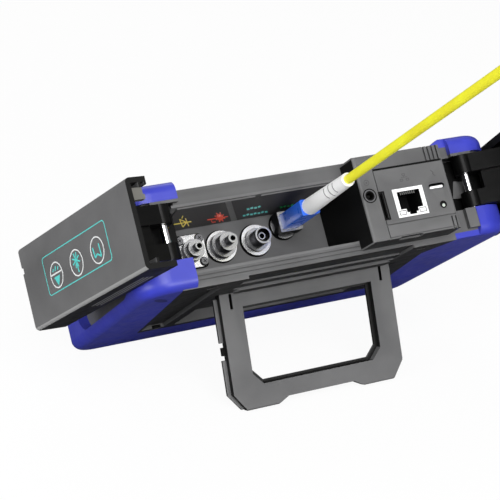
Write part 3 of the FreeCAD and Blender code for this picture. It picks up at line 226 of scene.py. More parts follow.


# Which ways the insides, ends and edges face, and where the painted light and shade stop

INTO_LEFT = way(LEFT_COVER, 0, 1, 0)
LEFT_END = way(LEFT_COVER, 1, 0, 0)
LOW_EDGE = (-TOWARDS_SCREEN - INTO_LEFT).normalized()
INTO_RIGHT = way(RIGHT_COVER, 0, 1, 0)
RIGHT_END = way(RIGHT_COVER, -1, 0, 0)
TO_FOOT = way(STAND, 0, 1, 0)
STAND_FACE = way(STAND, 0, 0, -1)
STAND_FRONT = max(STAND_FACE.dot(vertex.co) for vertex in frame["nodes"]["stand"].data.vertices)
STAND_RIM = 2 * MM
STAND_RIM_END = 36 * MM
PLATE_FRONT = -ORIGIN.dot(AWAY) - (PANEL_DEPTH - METER_PLATE) * MM
PLATE_SLACK = 0.5 * MM

SHELL_TONE = (0.098, 0.098, 0.1)
PAINTED_UNDER_SHADE = (0.012, 0.012, 0.0125)
COVER_TONE = (0.115, 0.115, 0.117)
PAINTED_EDGE_HIGHLIGHT = (0.33, 0.33, 0.33)
PAINTED_SHADE_TONE = (0.006, 0.006, 0.006)
# Painted shade: the shell's faces turned away from the screen, its underside, take a near black
# tone.
GREY = paint_light_by_facing(moulded("grey_shell", SHELL_TONE, 0.5, shine=0.3), PAINTED_UNDER_SHADE, (-TOWARDS_SCREEN,))
# Painted shade: the stand's sides and foot ends are near black.
STAND_GREY = paint_light_by_facing(moulded("stand_grey", SHELL_TONE, 0.5, shine=0.2), PAINTED_SHADE_TONE,
                      (-ACROSS, TO_FOOT, -TO_FOOT))
# Painted shade: faces that turn as the stand's face does but lie deeper than its rim, and not far
# to the left, are near black.
paint_light_by_facing(STAND_GREY, PAINTED_SHADE_TONE, (STAND_FACE,),
         within=((STAND_FACE, STAND_FRONT - STAND_RIM), (-ACROSS, STAND_RIM_END)))
# Painted shade: the left cover's inside, free end and lower wall are near black.
LEFT_GREY = paint_light_by_facing(moulded("left_cover_grey", COVER_TONE, 0.5, shine=0.2), PAINTED_SHADE_TONE,
                     (INTO_LEFT, LEFT_END, -TOWARDS_SCREEN))
# Painted highlight: a light band along the left cover's lower rounded edge.
paint_light_by_facing(LEFT_GREY, PAINTED_EDGE_HIGHLIGHT, (LOW_EDGE,), FACING_CLOSELY)
# Painted shade: the right cover's inside, free end and lower wall are near black.
RIGHT_GREY = paint_light_by_facing(moulded("right_cover_grey", COVER_TONE, 0.5, shine=0.1), PAINTED_SHADE_TONE,
                      (INTO_RIGHT, RIGHT_END, -TOWARDS_SCREEN))
BAY = moulded("bay_grey", (0.1, 0.1, 0.102), 0.5, shine=0.3)
STRIP = moulded("label_ground", (0.058, 0.056, 0.058), 0.6, grain=0.4, wear=0, shine=0.15)
DARK = moulded("dark_shell", (0.03, 0.031, 0.033), 0.5)
BLACK = moulded("black_plastic", (0.004, 0.004, 0.004), 0.6, grain=0.6, wear=0, shine=0.1)
GLOSSY = moulded("glossy_black", (0.003, 0.003, 0.003), 0.35, grain=0, wear=0, shine=0.12)
BLUE = moulded("blue_rubber", (0.034, 0.043, 0.44), 0.4, grain=0.8, wear=0.05)
# Painted shade: a darker blue for the shade in the bumper's dimple.
PAINTED_SHADE_BLUE = moulded("painted_shade_blue", (0.012, 0.015, 0.16), 0.5, grain=0.5, wear=0)
CHROME = metal("chrome", (0.86, 0.86, 0.88), 0.1)
GRIP = moulded("grip_grey", (0.2, 0.2, 0.2), 0.6, grain=1, wear=0)
RIB = moulded("rib_grey", (0.25, 0.25, 0.25), 0.5, grain=0, wear=0)
# Painted light and shade: the port metal stays dark on its sides, is painted light grey on faces
# turned out of the port face, and near white on those as deep as the meter plate's front, the
# flange fronts.
PORT_METAL = paint_light_by_facing(metal("port_metal", (0.06, 0.06, 0.062), 0.25), (0.5, 0.5, 0.51), (-AWAY,),
                      FACING_FULLY)
paint_light_by_facing(PORT_METAL, (0.9, 0.9, 0.91), (-AWAY,), FACING_FULLY,
         ((-AWAY, PLATE_FRONT + PLATE_SLACK),))
PORT_SHADER = PORT_METAL.node_tree.nodes["Principled BSDF"]
PORT_SHADER.inputs["Specular Tint"].default_value = (0.35, 0.35, 0.35, 1)
STEEL = metal("steel", (0.62, 0.62, 0.64), 0.3)
DARK_STEEL = metal("dark_steel", (0.2, 0.2, 0.21), 0.3)
GLASS = screen_glass("display_glass")
WHITE = moulded("white_plastic", (1.0, 1.0, 1.0), 0.35, grain=0.2, wear=0)
PLUG_BLUE = moulded("plug_blue", (0.02, 0.13, 0.72), 0.3, grain=0.2, wear=0)
YELLOW = moulded("yellow_jacket", (1.0, 0.93, 0.035), 0.4, grain=0.4, wear=0)
CLIP = moulded("clip_grey", (0.1, 0.097, 0.085), 0.5, grain=0.5)
BOARD = moulded("board_green", (0.01, 0.12, 0.04), 0.4, grain=0)
TEAL_INK = printed("teal_ink", (0.11, 0.66, 0.62))
WHITE_INK = printed("white_ink", (0.8, 0.82, 0.82))
YELLOW_INK = printed("yellow_ink", (1.0, 0.8, 0.1))
RED_INK = printed("red_ink", (1.0, 0.1, 0.05))
GREEN_INK = printed("green_ink", (0.02, 0.55, 0.12))
CONTACT = metal("contact_metal", (0.35, 0.35, 0.34), 0.35)
LAMP = moulded("lamp_lens", (0.5, 0.55, 0.5), 0.25, grain=0, wear=0)

FINISHES = {
    GREY: ["front_housing", "rear_housing", "io_block", "battery_cover"],
    STAND_GREY: ["stand"],
    LEFT_GREY: ["left_cover"],
    RIGHT_GREY: ["right_cover"],
    DARK: ["power_key", "test_key", "menu_key", "back_key"],
    GLOSSY: ["left_carriage", "right_carriage"],
    BLACK: ["housing_seal", "battery_pack", "network_jack", "card_reader", "dc_jack", "stand_clip",
            "bay_end_wall", "rear_screws", "charge_lamp"],
    BAY: ["port_bay", "bay_ledge", "bay_floor", "label_strips"],
    BLUE: ["bumper"],
    CHROME: ["left_hinge_pin", "right_hinge_pin"],
    PORT_METAL: ["opm_flange", "opm_tube", "vfl_port", "event_port", "test_port"],
    STEEL: ["display_module", "optical_module", "strap_posts", "stand_pins"],
    DARK_STEEL: ["usb_socket", "opm_screws"],
    GLASS: ["display_glass"],
    WHITE: ["lead_boot"],
    PLUG_BLUE: ["lead_plug", "lead_far_plug"],
    CLIP: ["left_cover_clip", "right_cover_clip"],
    BOARD: ["main_board"],
    LAMP: ["network_lamps"],
}
for finish, names in FINISHES.items():
    for name in names:
        node = frame["nodes"][name]
        node.data.materials.clear()
        node.data.materials.append(finish)


# Making of small pieces

def piece(name, shape, place, finish, body):
    """A new piece of the object from a shape in local millimetres, which it uses up."""
    mesh = bpy.data.meshes.new(name)
    shape.to_mesh(mesh)
    shape.free()
    made = bpy.data.objects.new(name, mesh)
    bpy.context.collection.objects.link(made)
    made.matrix_world = place @ Matrix.Scale(MM, 4)
    mesh.materials.append(finish)
    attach(made, body)


def black_piece(name, shape, place):
    """A black piece of the unit."""
    piece(name, shape, place, BLACK, "unit")


def ring_points(x, y, radius, count=32, start=0.0, turn=2 * pi):
    """Points along a circle or part of one."""
    return [(x + radius * cos(start + turn * i / count), y + radius * sin(start + turn * i / count))
            for i in range(count + (0 if turn == 2 * pi else 1))]


def rectangle(x0, x1, y0, y1):
    """The outline of a rectangle."""
    return [(x0, y0), (x1, y0), (x1, y1), (x0, y1)]


def rounded(x0, x1, y0, y1, radius, count=6):
    """The outline of a rectangle with round corners."""
    corners = ((x1 - radius, y1 - radius, 0), (x0 + radius, y1 - radius, pi / 2),
               (x0 + radius, y0 + radius, pi), (x1 - radius, y0 + radius, 3 * pi / 2))
    return [point for x, y, start in corners
            for point in ring_points(x, y, radius, count, start, pi / 2)]


def band(shape, outer, inner, thickness):
    """A flat ring between two outlines of as many points, with a little thickness."""
    count = len(outer)
    rows = [[shape.verts.new((x, y, z)) for x, y in line]
            for line, z in ((outer, 0), (outer, thickness), (inner, thickness), (inner, 0))]
    for a, b in zip(rows, rows[1:] + rows[:1]):
        for i in range(count):
            j = (i + 1) % count
            shape.faces.new((a[i], a[j], b[j], b[i]))


def ring(shape, x, y, outer, inner, thickness, count=32):
    """A flat round ring."""
    band(shape, ring_points(x, y, outer, count), ring_points(x, y, inner, count), thickness)


def slab(shape, outline, thickness):
    """A flat plate of one outline, with a little thickness."""
    low = [shape.verts.new((x, y, 0)) for x, y in outline]
    high = [shape.verts.new((x, y, thickness)) for x, y in outline]
    shape.faces.new(high)
    shape.faces.new(low[::-1])
    count = len(outline)
    for i in range(count):
        j = (i + 1) % count
        shape.faces.new((low[i], low[j], high[j], high[i]))


def stroke(shape, points, width, thickness):
    """A line of constant width through points."""
    for (x0, y0), (x1, y1) in zip(points, points[1:]):
        along = Vector((x1 - x0, y1 - y0))
        side = Vector((-along.y, along.x)).normalized() * width / 2
        slab(shape, [(x0 + side.x, y0 + side.y), (x0 - side.x, y0 - side.y),
                     (x1 - side.x, y1 - side.y), (x1 + side.x, y1 + side.y)], thickness)


def plates(name, outlines, thickness, place, finish):
    """A piece of the unit made of flat plates."""
    shape = bmesh.new()
    for outline in outlines:
        slab(shape, outline, thickness)
    piece(name, shape, place, finish, "unit")


# The lead, in the object's own millimetres: from the strain relief up, over and down to the
# ground, and into a neat coil. The route is the middle of the cable.

CABLE = 4.2 * MM
ROUTE = [
    (-3.3, -74.8, 121.3),
    (-3.3, -175.9, 193.2),
    (-3.3, -217.5, 222.7),
    (-2.0, -264.8, 203.0),
    (0.0, -288.8, 158.0),
    (1.0, -294.3, 110.0),
    (1.0, -291.8, 68.0),
    (1.0, -284.3, 24.0),
    (0.0, -264.3, 2.2),
    (-1.0, -243.3, 2.2),
]
COIL_MIDDLE = 25.86
COIL_PITCH = 4.4
COIL_X = ROUTE[-1][0] + COIL_MIDDLE + COIL_PITCH
COIL_Y = ROUTE[-1][1]
TURN_POINTS = 24
FLAT_TURNS = 2.0
RISE_TURNS = 0.15
ALL_TURNS = 3.25
TAIL_CLEARANCE = 0.4
TAIL_SIDE = COIL_Y + COIL_MIDDLE + COIL_PITCH + TAIL_CLEARANCE
TAIL = [(COIL_X + 7, TAIL_SIDE, 6.3), (COIL_X + 18, TAIL_SIDE, 4.0)]
CABLE_SIDES = 6
CABLE_STEPS = 12
CURVE_ORDER = 3


def coil_points():
    """Turns from the outside in along the ground, and back out on top of them."""
    outer, inner = COIL_MIDDLE + COIL_PITCH, COIL_MIDDLE - COIL_PITCH
    low, high = ROUTE[-1][2], ROUTE[-1][2] + COIL_PITCH
    top_turns = ALL_TURNS - FLAT_TURNS - RISE_TURNS
    points = []
    for i in range(1, int(ALL_TURNS * TURN_POINTS) + 1):
        turn = i / TURN_POINTS
        on_top = turn - FLAT_TURNS - RISE_TURNS
        if turn < FLAT_TURNS:
            radius = outer - COIL_PITCH * turn
        else:
            radius = inner + (outer - inner) * max(0, on_top) / top_turns
        rise = min(1, max(0, (turn - FLAT_TURNS) / RISE_TURNS))
        angle = pi - 2 * pi * turn
        points.append((COIL_X + radius * cos(angle), COIL_Y + radius * sin(angle),
                       low + (high - low) * rise))
    return points


def build_lead():
    curve = bpy.data.curves.new("lead", "CURVE")
    curve.dimensions = "3D"
    curve.bevel_depth = CABLE / 2
    curve.bevel_resolution = CABLE_SIDES
    curve.resolution_u = CABLE_STEPS
    curve.use_fill_caps = True
    points = ROUTE + coil_points() + TAIL
    spline = curve.splines.new("NURBS")
    spline.points.add(len(points) - 1)
    for held, point in zip(spline.points, points):
        held.co = (*(value * MM for value in point), 1)
    spline.order_u = CURVE_ORDER
    spline.use_endpoint_u = True
    lead = bpy.data.objects.new("lead", curve)
    bpy.context.collection.objects.link(lead)
    curve.materials.append(YELLOW)
    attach(lead, "unit")
    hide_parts("lead_cable", "lead_coil", "lead_tail")


build_lead()


# Printed marks on the left cover: an outline with three generic signs in rings

INK = 0.06
COVER_OUTSIDE = 31
FREE_END = 28.5
LABEL_NEAR, LABEL_FAR = FREE_END - 24.5, FREE_END - 87
LABEL_LOW, LABEL_HIGH = -7.3, 11
LABEL_LINE = 0.45
LABEL_CORNER, LABEL_INNER_CORNER = 2, 1.6
SIGNS_FROM_END = (35.6, 55.8, 76.2)
SIGN_RING_Y, SIGN_RING_OUTER, SIGN_RING_INNER = 0.2, 6.1, 5.5
SIGN_LINE, SIGN_THIN_LINE = 0.8, 0.7
TRACE_SIGN = ((-3.6, 2.2), (-3.0, -2.4), (-0.6, -1.4), (2.6, -3.2), (2.2, 2.6))
BEAM_MIDDLE, BEAM_BLOB, BEAM_REACH = 1.4, 1.3, 3.6
BEAM_STEM = ((0, 0.4), (0.4, -4.2))
DROP_LINE = ((-5.4, 1.0), (5.4, 1.0))
DROP_SIGN = ((0, -4.8), (-2.9, -0.4), (2.9, -0.4))
DROP_DASHES = (-2.4, 0, 2.4)
DASH_LOW, DASH_HIGH, DASH_LEAN, DASH_SHORTER = 2.2, 4.2, 0.5, 0.3
BURST_SPOKES = 8
BURST_POINTS = 20
SPOKE_START = 0.7


def cover_face():
    """A frame on the left cover's outside, X along the cover, Y towards the screen."""
    outside = Matrix.Translation((0, -COVER_OUTSIDE * MM, 0))
    return LEFT_COVER @ outside @ Matrix.Rotation(pi / 2, 4, "X")


def shifted(points, x):
    """Points of a sign, moved along to where the sign stands."""
    return [(x + across, up) for across, up in points]


def burst(shape, x, y, blob, reach, width):
    """A round blob with short rays."""
    slab(shape, ring_points(x, y, blob, BURST_POINTS), INK)
    for i in range(BURST_SPOKES):
        turn = 2 * pi * (i + 0.5) / BURST_SPOKES
        stroke(shape, [(x + SPOKE_START * blob * cos(turn), y + SPOKE_START * blob * sin(turn)),
                       (x + reach * cos(turn), y + reach * sin(turn))], width, INK)


def build_cover_label():
    outline, rings, signs = bmesh.new(), bmesh.new(), bmesh.new()
    band(outline, rounded(LABEL_FAR, LABEL_NEAR, LABEL_LOW, LABEL_HIGH, LABEL_CORNER),
         rounded(LABEL_FAR + LABEL_LINE, LABEL_NEAR - LABEL_LINE, LABEL_LOW + LABEL_LINE,
                 LABEL_HIGH - LABEL_LINE, LABEL_INNER_CORNER), INK)
    near, middle, far = (FREE_END - from_end for from_end in SIGNS_FROM_END)
    for x in (near, middle, far):
        ring(rings, x, SIGN_RING_Y, SIGN_RING_OUTER, SIGN_RING_INNER, INK)
    stroke(signs, shifted(TRACE_SIGN, near), SIGN_LINE, INK)
    burst(signs, middle, BEAM_MIDDLE, BEAM_BLOB, BEAM_REACH, SIGN_THIN_LINE)
    stroke(signs, shifted(BEAM_STEM, middle), SIGN_LINE, INK)
    stroke(rings, shifted(DROP_LINE, far), SIGN_THIN_LINE, INK)
    slab(signs, shifted(DROP_SIGN, far), INK)
    for dash in DROP_DASHES:
        top = DASH_HIGH - DASH_SHORTER * abs(dash)
        stroke(signs, shifted(((dash - DASH_LEAN, DASH_LOW), (dash + DASH_LEAN, top)), far),
               SIGN_THIN_LINE, INK)
    piece("cover_outline", outline, cover_face(), TEAL_INK, "left_cover")
    piece("cover_rings", rings, cover_face(), WHITE_INK, "left_cover")
    piece("cover_signs", signs, cover_face(), TEAL_INK, "left_cover")


build_cover_label()


# Soft strips in the grip slots on each cover's lower side

GRIP_ROWS = (18.9, 21.1, 23.3)
GRIP_SHORT_END, GRIP_LONG_END = 11.8, 36.8
GRIP_HALF_WIDTH = 0.45
GRIP_HEIGHT = 0.7
GRIP_LEVEL = -17.8


def build_grips():
    for side, cover, body in ((-1, LEFT_COVER, "left_cover"), (1, RIGHT_COVER, "right_cover")):
        shape = bmesh.new()
        start, end = sorted((-side * GRIP_SHORT_END, side * GRIP_LONG_END))
        for y in GRIP_ROWS:
            strip = rectangle(start, end, y - GRIP_HALF_WIDTH, y + GRIP_HALF_WIDTH)
            slab(shape, strip, GRIP_HEIGHT)
        place = cover @ Matrix.Translation((0, 0, GRIP_LEVEL * MM)) @ Matrix.Rotation(pi, 4, "X")
        piece(f"{body}_grips", shape, place, GRIP, body)


build_grips()


# Printed marks on the bay's slanted ledge, above each port. A mark is drawn plainly, and then
# stretched and leant over so that it looks upright in the photograph's view.

LEDGE_NEAR = Vector((0, 15.5, 12.1))
LEDGE_FAR = Vector((0, 44.5, 9.0))
GROUNDS = (((-69, 0), (-32.4, 0), (-45.5, 28.9), (-69, 28.9)),
           ((-29.4, 0), (12, 0), (12, 28.9), (-42.5, 28.9)))
GROUND_LIFT, MARK_LIFT = 0.02, 0.1
LEAN, STRETCH = -1.36, 3.0
UPRIGHT = Matrix(((1, LEAN, 0, 0), (0, STRETCH, 0, 0), (0, 0, 1, 0), (0, 0, 0, 1)))
MARK_LINE = 0.45
ARROW_LINE = 0.35
HOOK_LINE = 0.4
DIODE_LINES = (((-7, 0), (3.6, 0)), ((-1.4, -2), (-1.4, 2), (1.3, 0), (-1.4, -2)),
               ((1.5, -2), (1.5, 2)))
DIODE_ARROW = ((-0.2, 2.2), (0.8, 3.4))
FLASH_BEAM = ((-6.2, -0.3), (4.2, -0.3))
FLASH_HOOK = ((-4.4, -0.9), (-4.4, -1.9), (-2.6, -1.9))
FLASH_X, FLASH_BLOB, FLASH_REACH, FLASH_RAY = 0.2, 1.7, 2.5, 0.5
BAR_PITCH, BAR_START, BAR_END, BAR_LEAN, BAR_WIDTH = 1.9, 0.7, 0.6, 0.4, 0.75
ROW_PITCH, FIRST_ROW = 2.9, 1.4


def ledge_frame(x, up, lift):
    """A frame under the label strips, X across, Y from their far edge to the mouth, Z down."""
    towards = (LEDGE_NEAR - LEDGE_FAR).normalized()
    turn = Matrix((ACROSS, towards, ACROSS.cross(towards))).transposed().to_4x4()
    place = (LEDGE_FAR + Vector((x, 0, -lift)) + up * towards) * MM
    return UNIT @ Matrix.Translation(place) @ turn


def diode(shape):
    """The usual sign of a light-sensing diode."""
    for line in DIODE_LINES:
        stroke(shape, line, MARK_LINE, INK)
    stroke(shape, DIODE_ARROW, ARROW_LINE, INK)


def flash(shape):
    """A light burst on a line."""
    stroke(shape, FLASH_BEAM, MARK_LINE, INK)
    stroke(shape, FLASH_HOOK, HOOK_LINE, INK)
    burst(shape, FLASH_X, 0, FLASH_BLOB, FLASH_REACH, FLASH_RAY)


def wave(*counts):
    """A drawing of rows of short bars that stand for a measured trace."""
    def draw(shape):
        for row, count in enumerate(counts):
            for i in range(count):
                x = BAR_PITCH * (i - (count - 1) / 2)
                y = ROW_PITCH * row - FIRST_ROW
                stroke(shape, [(x - BAR_START, y), (x + BAR_END, y + BAR_LEAN * (i % 2))],
                       BAR_WIDTH, INK)
    return draw


# Each mark's name, drawing, place across and place up the ledge, and ink

MARKS = (("power_mark", diode, -59.5, 9.6, YELLOW_INK),
         ("laser_mark", flash, -41.5, 8.8, RED_INK),
         ("second_mark", wave(7, 4), -23.7, 9.2, TEAL_INK),
         ("first_mark", wave(5), -7.4, 12, GREEN_INK))


def build_bay_marks():
    plates("label_grounds", GROUNDS, INK, ledge_frame(0, 0, GROUND_LIFT), STRIP)
    for name, draw, x, up, ink in MARKS:
        shape = bmesh.new()
        draw(shape)
        bmesh.ops.transform(shape, matrix=UPRIGHT, verts=shape.verts)
        piece(name, shape, ledge_frame(x, up, MARK_LIFT), ink, "unit")


build_bay_marks()


# Small parts at the port block and the ports. Middles are given across the unit and towards the
# screen, depths from the port face inwards.

NETWORK = (37.5, -5.4)
DATA = (52.9, -0.25)
POWER = (17.9, 0.35)
CARD = (23.8, -5.35)
CHARGE_LAMP = (53.9, -9.4)
METER = (-55.5, -2)
LASER_PORT = (-40.2, -2)
SECOND_PORT = (-22.5, -2)
FIRST_PORT = (-7, 2.7)
SCREW_X, SCREW_Z = 4.9, 5.6
SKIN = 0.02
FACE = UNIT @ Matrix.Rotation(pi / 2, 4, "X")

# Rectangles are given as their left, right, lower and upper ends

NETWORK_SHELL = ((-7.95, 7.95, 5.3, 6.75), (-7.95, -5.9, -3.1, 5.3), (5.9, 7.95, -3.1, 5.3),
                 (-7.95, -3.1, -6.0, -3.1), (3.1, 7.95, -6.0, -3.1), (-3.1, -1.9, -6.0, -4.9),
                 (1.9, 3.1, -6.0, -4.9), (-7.95, 7.95, -6.75, -6.0))
NETWORK_SHELL_RISE = 0.15
LAMP_WINDOWS = ((-6.9, -3.6, -5.6, -3.7), (3.6, 6.9, -5.6, -3.7))
WINDOW_LINE, WINDOW_RISE = 0.3, 0.2
CONTACT_COUNT, CONTACT_PITCH, CONTACT_START = 8, 1.02, -3.57
CONTACT_HALF_WIDTH, CONTACT_LOW, CONTACT_HIGH = 0.18, 3.9, 5.2
CONTACT_THICKNESS, CONTACT_DEPTH = 0.3, 1.2


def face_frame(x, z, y=0.0):
    """A frame on the port face, X across the unit, Y towards the screen, Z out of the face."""
    return FACE @ Matrix.Translation((x * MM, z * MM, -y * MM))


def build_network_face():
    """The pale shell of the network socket round its throat, two lamp windows and contacts."""
    plates("network_face", [rectangle(*part) for part in NETWORK_SHELL], NETWORK_SHELL_RISE,
           face_frame(*NETWORK), WHITE)
    lines = bmesh.new()
    for window in LAMP_WINDOWS:
        outline = rectangle(*window)
        stroke(lines, outline + outline[:1], WINDOW_LINE, WINDOW_RISE)
    black_piece("network_lamp_rims", lines, face_frame(*NETWORK))
    middles = [CONTACT_START + CONTACT_PITCH * i for i in range(CONTACT_COUNT)]
    contacts = [rectangle(x - CONTACT_HALF_WIDTH, x + CONTACT_HALF_WIDTH, CONTACT_LOW, CONTACT_HIGH)
                for x in middles]
    plates("network_contacts", contacts, CONTACT_THICKNESS, face_frame(*NETWORK, CONTACT_DEPTH),
           CONTACT)


# The slits' middles round the strain relief, and for each its place along it and half its turn

RIB_SIDES = (0.25, pi + 0.25)
RIB_ROWS = ((-9.5, 0.8), (-14, 1.0), (-18.5, 0.8))
RIB_STEPS = 12
RIB_HALF_WIDTH, RIB_HALF_HEIGHT = 0.3, 0.1
RIB_SLANT = 0.5
BOOT_RADIUS, BOOT_TAPER = 3.1, 0.0186
BOOT_END = -30.95


def build_boot_ribs():
    """Short grey slits on both sides of the strain relief."""
    shape = bmesh.new()
    for middle in RIB_SIDES:
        for along, share in RIB_ROWS:
            radius = BOOT_RADIUS - BOOT_TAPER * along
            low, high = radius - RIB_HALF_HEIGHT, radius + RIB_HALF_HEIGHT
            near, far = along - RIB_HALF_WIDTH, along + RIB_HALF_WIDTH
            turns = [middle + share * (2 * i / RIB_STEPS - 1) for i in range(RIB_STEPS + 1)]
            rows = [[shape.verts.new((reach * cos(turn), reach * sin(turn),
                                      z + RIB_SLANT * (turn - middle))) for turn in turns]
                    for z, reach in ((near, low), (near, high), (far, high), (far, low))]
            for a, b in zip(rows, rows[1:] + rows[:1]):
                for i in range(RIB_STEPS):
                    shape.faces.new((a[i], a[i + 1], b[i + 1], b[i]))
            shape.faces.new([row[0] for row in rows])
            shape.faces.new([row[-1] for row in rows][::-1])
    bmesh.ops.recalc_face_normals(shape, faces=shape.faces)
    piece("boot_ribs", shape, face_frame(*FIRST_PORT, BOOT_END), RIB, "unit")


FAINT = 0.04
SIGN_Z = 6
POWER_SIGN_Z = 6.6
BRANCHES = ((-1.6, -0.9), (1.6, -0.9), (0, 1.5))
BRANCH_OUTER, BRANCH_INNER = (0.8, 0.6), (0.5, 0.3)
BRANCH_LINES = (((0, 0.9), (0, 0.3)), ((-1.6, 0.3), (1.6, 0.3)))
BRANCH_LINE = 0.25
BOLT = ((-0.9, 1.6), (0.3, 0.2), (-0.3, -0.1), (0.9, -1.6))
BOLT_LINE = 0.4
POWER_SIGN_OUTER, POWER_SIGN_INNER, POWER_SIGN_POINTS = 1.4, 1.1, 24
POWER_DOT, POWER_DOT_POINTS = 0.45, 12


def build_face_marks():
    """Faint generic signs above the sockets."""
    network, data, power = bmesh.new(), bmesh.new(), bmesh.new()
    for x, y in BRANCHES:
        outer, inner = (rectangle(x - wide, x + wide, y - high, y + high)
                        for wide, high in (BRANCH_OUTER, BRANCH_INNER))
        band(network, outer, inner, FAINT)
    for line in BRANCH_LINES:
        stroke(network, line, BRANCH_LINE, FAINT)
    stroke(data, BOLT, BOLT_LINE, FAINT)
    ring(power, 0, 0, POWER_SIGN_OUTER, POWER_SIGN_INNER, FAINT, POWER_SIGN_POINTS)
    slab(power, ring_points(0, 0, POWER_DOT, POWER_DOT_POINTS), FAINT)
    for name, shape, x, z in (("network_mark", network, NETWORK[0], SIGN_Z),
                              ("data_mark", data, DATA[0], SIGN_Z),
                              ("power_mark_face", power, POWER[0], POWER_SIGN_Z)):
        piece(name, shape, face_frame(x, z), DARK, "unit")


BLOCK_SIDE_X = 14
BLOCK_SIDE = ((1.3, -20.8), (13.9, -20.8), (13.9, -16.6), (45.8, -13.2), (45.8, 9.2), (14.3, 12.6),
              (13.9, 13.9), (13.9, 18.6), (1.3, 18.6))
BLOCK_SIDE_THICKNESS = 0.12
POCKET_DEPTH = 21
POCKETS = ((-89.6, -71.2, -10.8, 14.8), (66.2, 89.6, -10.8, 14.8))
BRACKET = ((72.1, -3.6), (78.1, -4.5), (80.7, 3.7), (74.7, 4.7))
BRACKET_THICKNESS = 0.2
BLOCK_GAP_DEPTH = 14
BLOCK_GAP = (60.2, 65.8, -17, 19)
SHADE_PLATE_THICKNESS = 0.1
STEP_SHADE = (22.6, 59.4, 11.45, 12.5)
STEP_DEPTH = 0.8
THIN_PLATE = 0.08
CARD_OUTER, CARD_INNER = (-1.6, 1.6, -6.8, 6.8), (-0.95, 0.95, -6.2, 6.2)
DIMPLE_PLACE = (-81.6 * MM, 29.2 * MM, -24.5 * MM)
DIMPLE_X, DIMPLE_Y = (4.4, 1.3), (-3.6, -4.0)
DIMPLE_POINTS = 32
DIMPLE_THICKNESS = 0.06
USB_GLINT = (-3.5, 3.5, -1.0, 0.1, 0.5)
USB_GLINT_THICKNESS, USB_GLINT_DEPTH = 0.2, 0.55


def build_plates_and_painted_shades():
    """Black plates of painted shade on the block's side, in the hinge pockets, in the gap beside
    the block, along its step and round the card slot; a grey bracket in a pocket; painted shade in
    the bumper's dimple; and a painted glint in the USB socket.
    """
    sideways = Matrix(((0, 0, -1), (1, 0, 0), (0, 1, 0))).to_4x4()
    side_place = UNIT @ Matrix.Translation((BLOCK_SIDE_X * MM, 0, 0)) @ sideways
    # Painted shade: a black plate on the block's side, where the bay shades it.
    plates("block_side_shade", [BLOCK_SIDE], BLOCK_SIDE_THICKNESS, side_place, BLACK)
    # Painted shade: black plates at the back of the hinge pockets.
    plates("pocket_shades", [rectangle(*pocket) for pocket in POCKETS], SHADE_PLATE_THICKNESS,
           face_frame(0, 0, POCKET_DEPTH - SKIN), BLACK)
    plates("pocket_bracket", [BRACKET], BRACKET_THICKNESS,
           face_frame(0, 0, POCKET_DEPTH - BRACKET_THICKNESS), GREY)
    # Painted shade: a black plate in the gap between the block and the right hinge.
    plates("block_gap_shade", [rectangle(*BLOCK_GAP)], SHADE_PLATE_THICKNESS,
           face_frame(0, 0, BLOCK_GAP_DEPTH - SKIN), BLACK)
    # Painted shade: a black band along the step on the block's face.
    plates("step_shade_line", [rectangle(*STEP_SHADE)], THIN_PLATE, face_frame(0, 0, STEP_DEPTH),
           BLACK)
    # Painted shade: a black frame round the card slot.
    slot = bmesh.new()
    band(slot, rectangle(*CARD_OUTER), rectangle(*CARD_INNER), THIN_PLATE)
    black_piece("card_slot_shade", slot, face_frame(*CARD))
    # Painted shade: a darker blue oval on the bumper's underside, where its dimple lies.
    turns = [2 * pi * i / DIMPLE_POINTS for i in range(DIMPLE_POINTS)]
    dimple = [tuple(a * cos(turn) + b * sin(turn) for a, b in (DIMPLE_X, DIMPLE_Y))
              for turn in turns][::-1]
    under = UNIT @ Matrix.Translation(DIMPLE_PLACE) @ Matrix.Rotation(pi, 4, "X")
    plates("bumper_dimple_shade", [dimple], DIMPLE_THICKNESS, under, PAINTED_SHADE_BLUE)
    # Painted highlight: a white glint inside the USB socket.
    plates("usb_glint", [rounded(*USB_GLINT)], USB_GLINT_THICKNESS, face_frame(*DATA, USB_GLINT_DEPTH),
           WHITE)


JACK_RIMS = ((3.4, 2.9, 0.12), (2.3, 1.7, 0.1))
JACK_SLEEVE = (2.9, 2.3, THIN_PLATE)
GLINT_FROM_POWER = (36.1, -10.1)
GLINT_RADIUS, GLINT_POINTS, GLINT_THICKNESS, GLINT_DEPTH = 0.8, 16, 0.1, 0.15
PORT_SHADE_RINGS = ((*LASER_PORT, 7.4), (*SECOND_PORT, 7.4), (*FIRST_PORT, 6.5))
SHADE_OUT, SHADE_IN, SHADE_POINTS, SHADE_RING_THICKNESS = 0.55, 0.1, 40, 0.1
METER_CORNERS = ((-SCREW_X, -SCREW_Z, pi), (SCREW_X, -SCREW_Z, -pi / 2), (SCREW_X, SCREW_Z, 0),
                 (-SCREW_X, SCREW_Z, pi / 2))
METER_SHADE_RING = (2.75, 2.1)
CORNER_POINTS = 6
LAMP_RIM = (1.75, 1.4, 0.12)


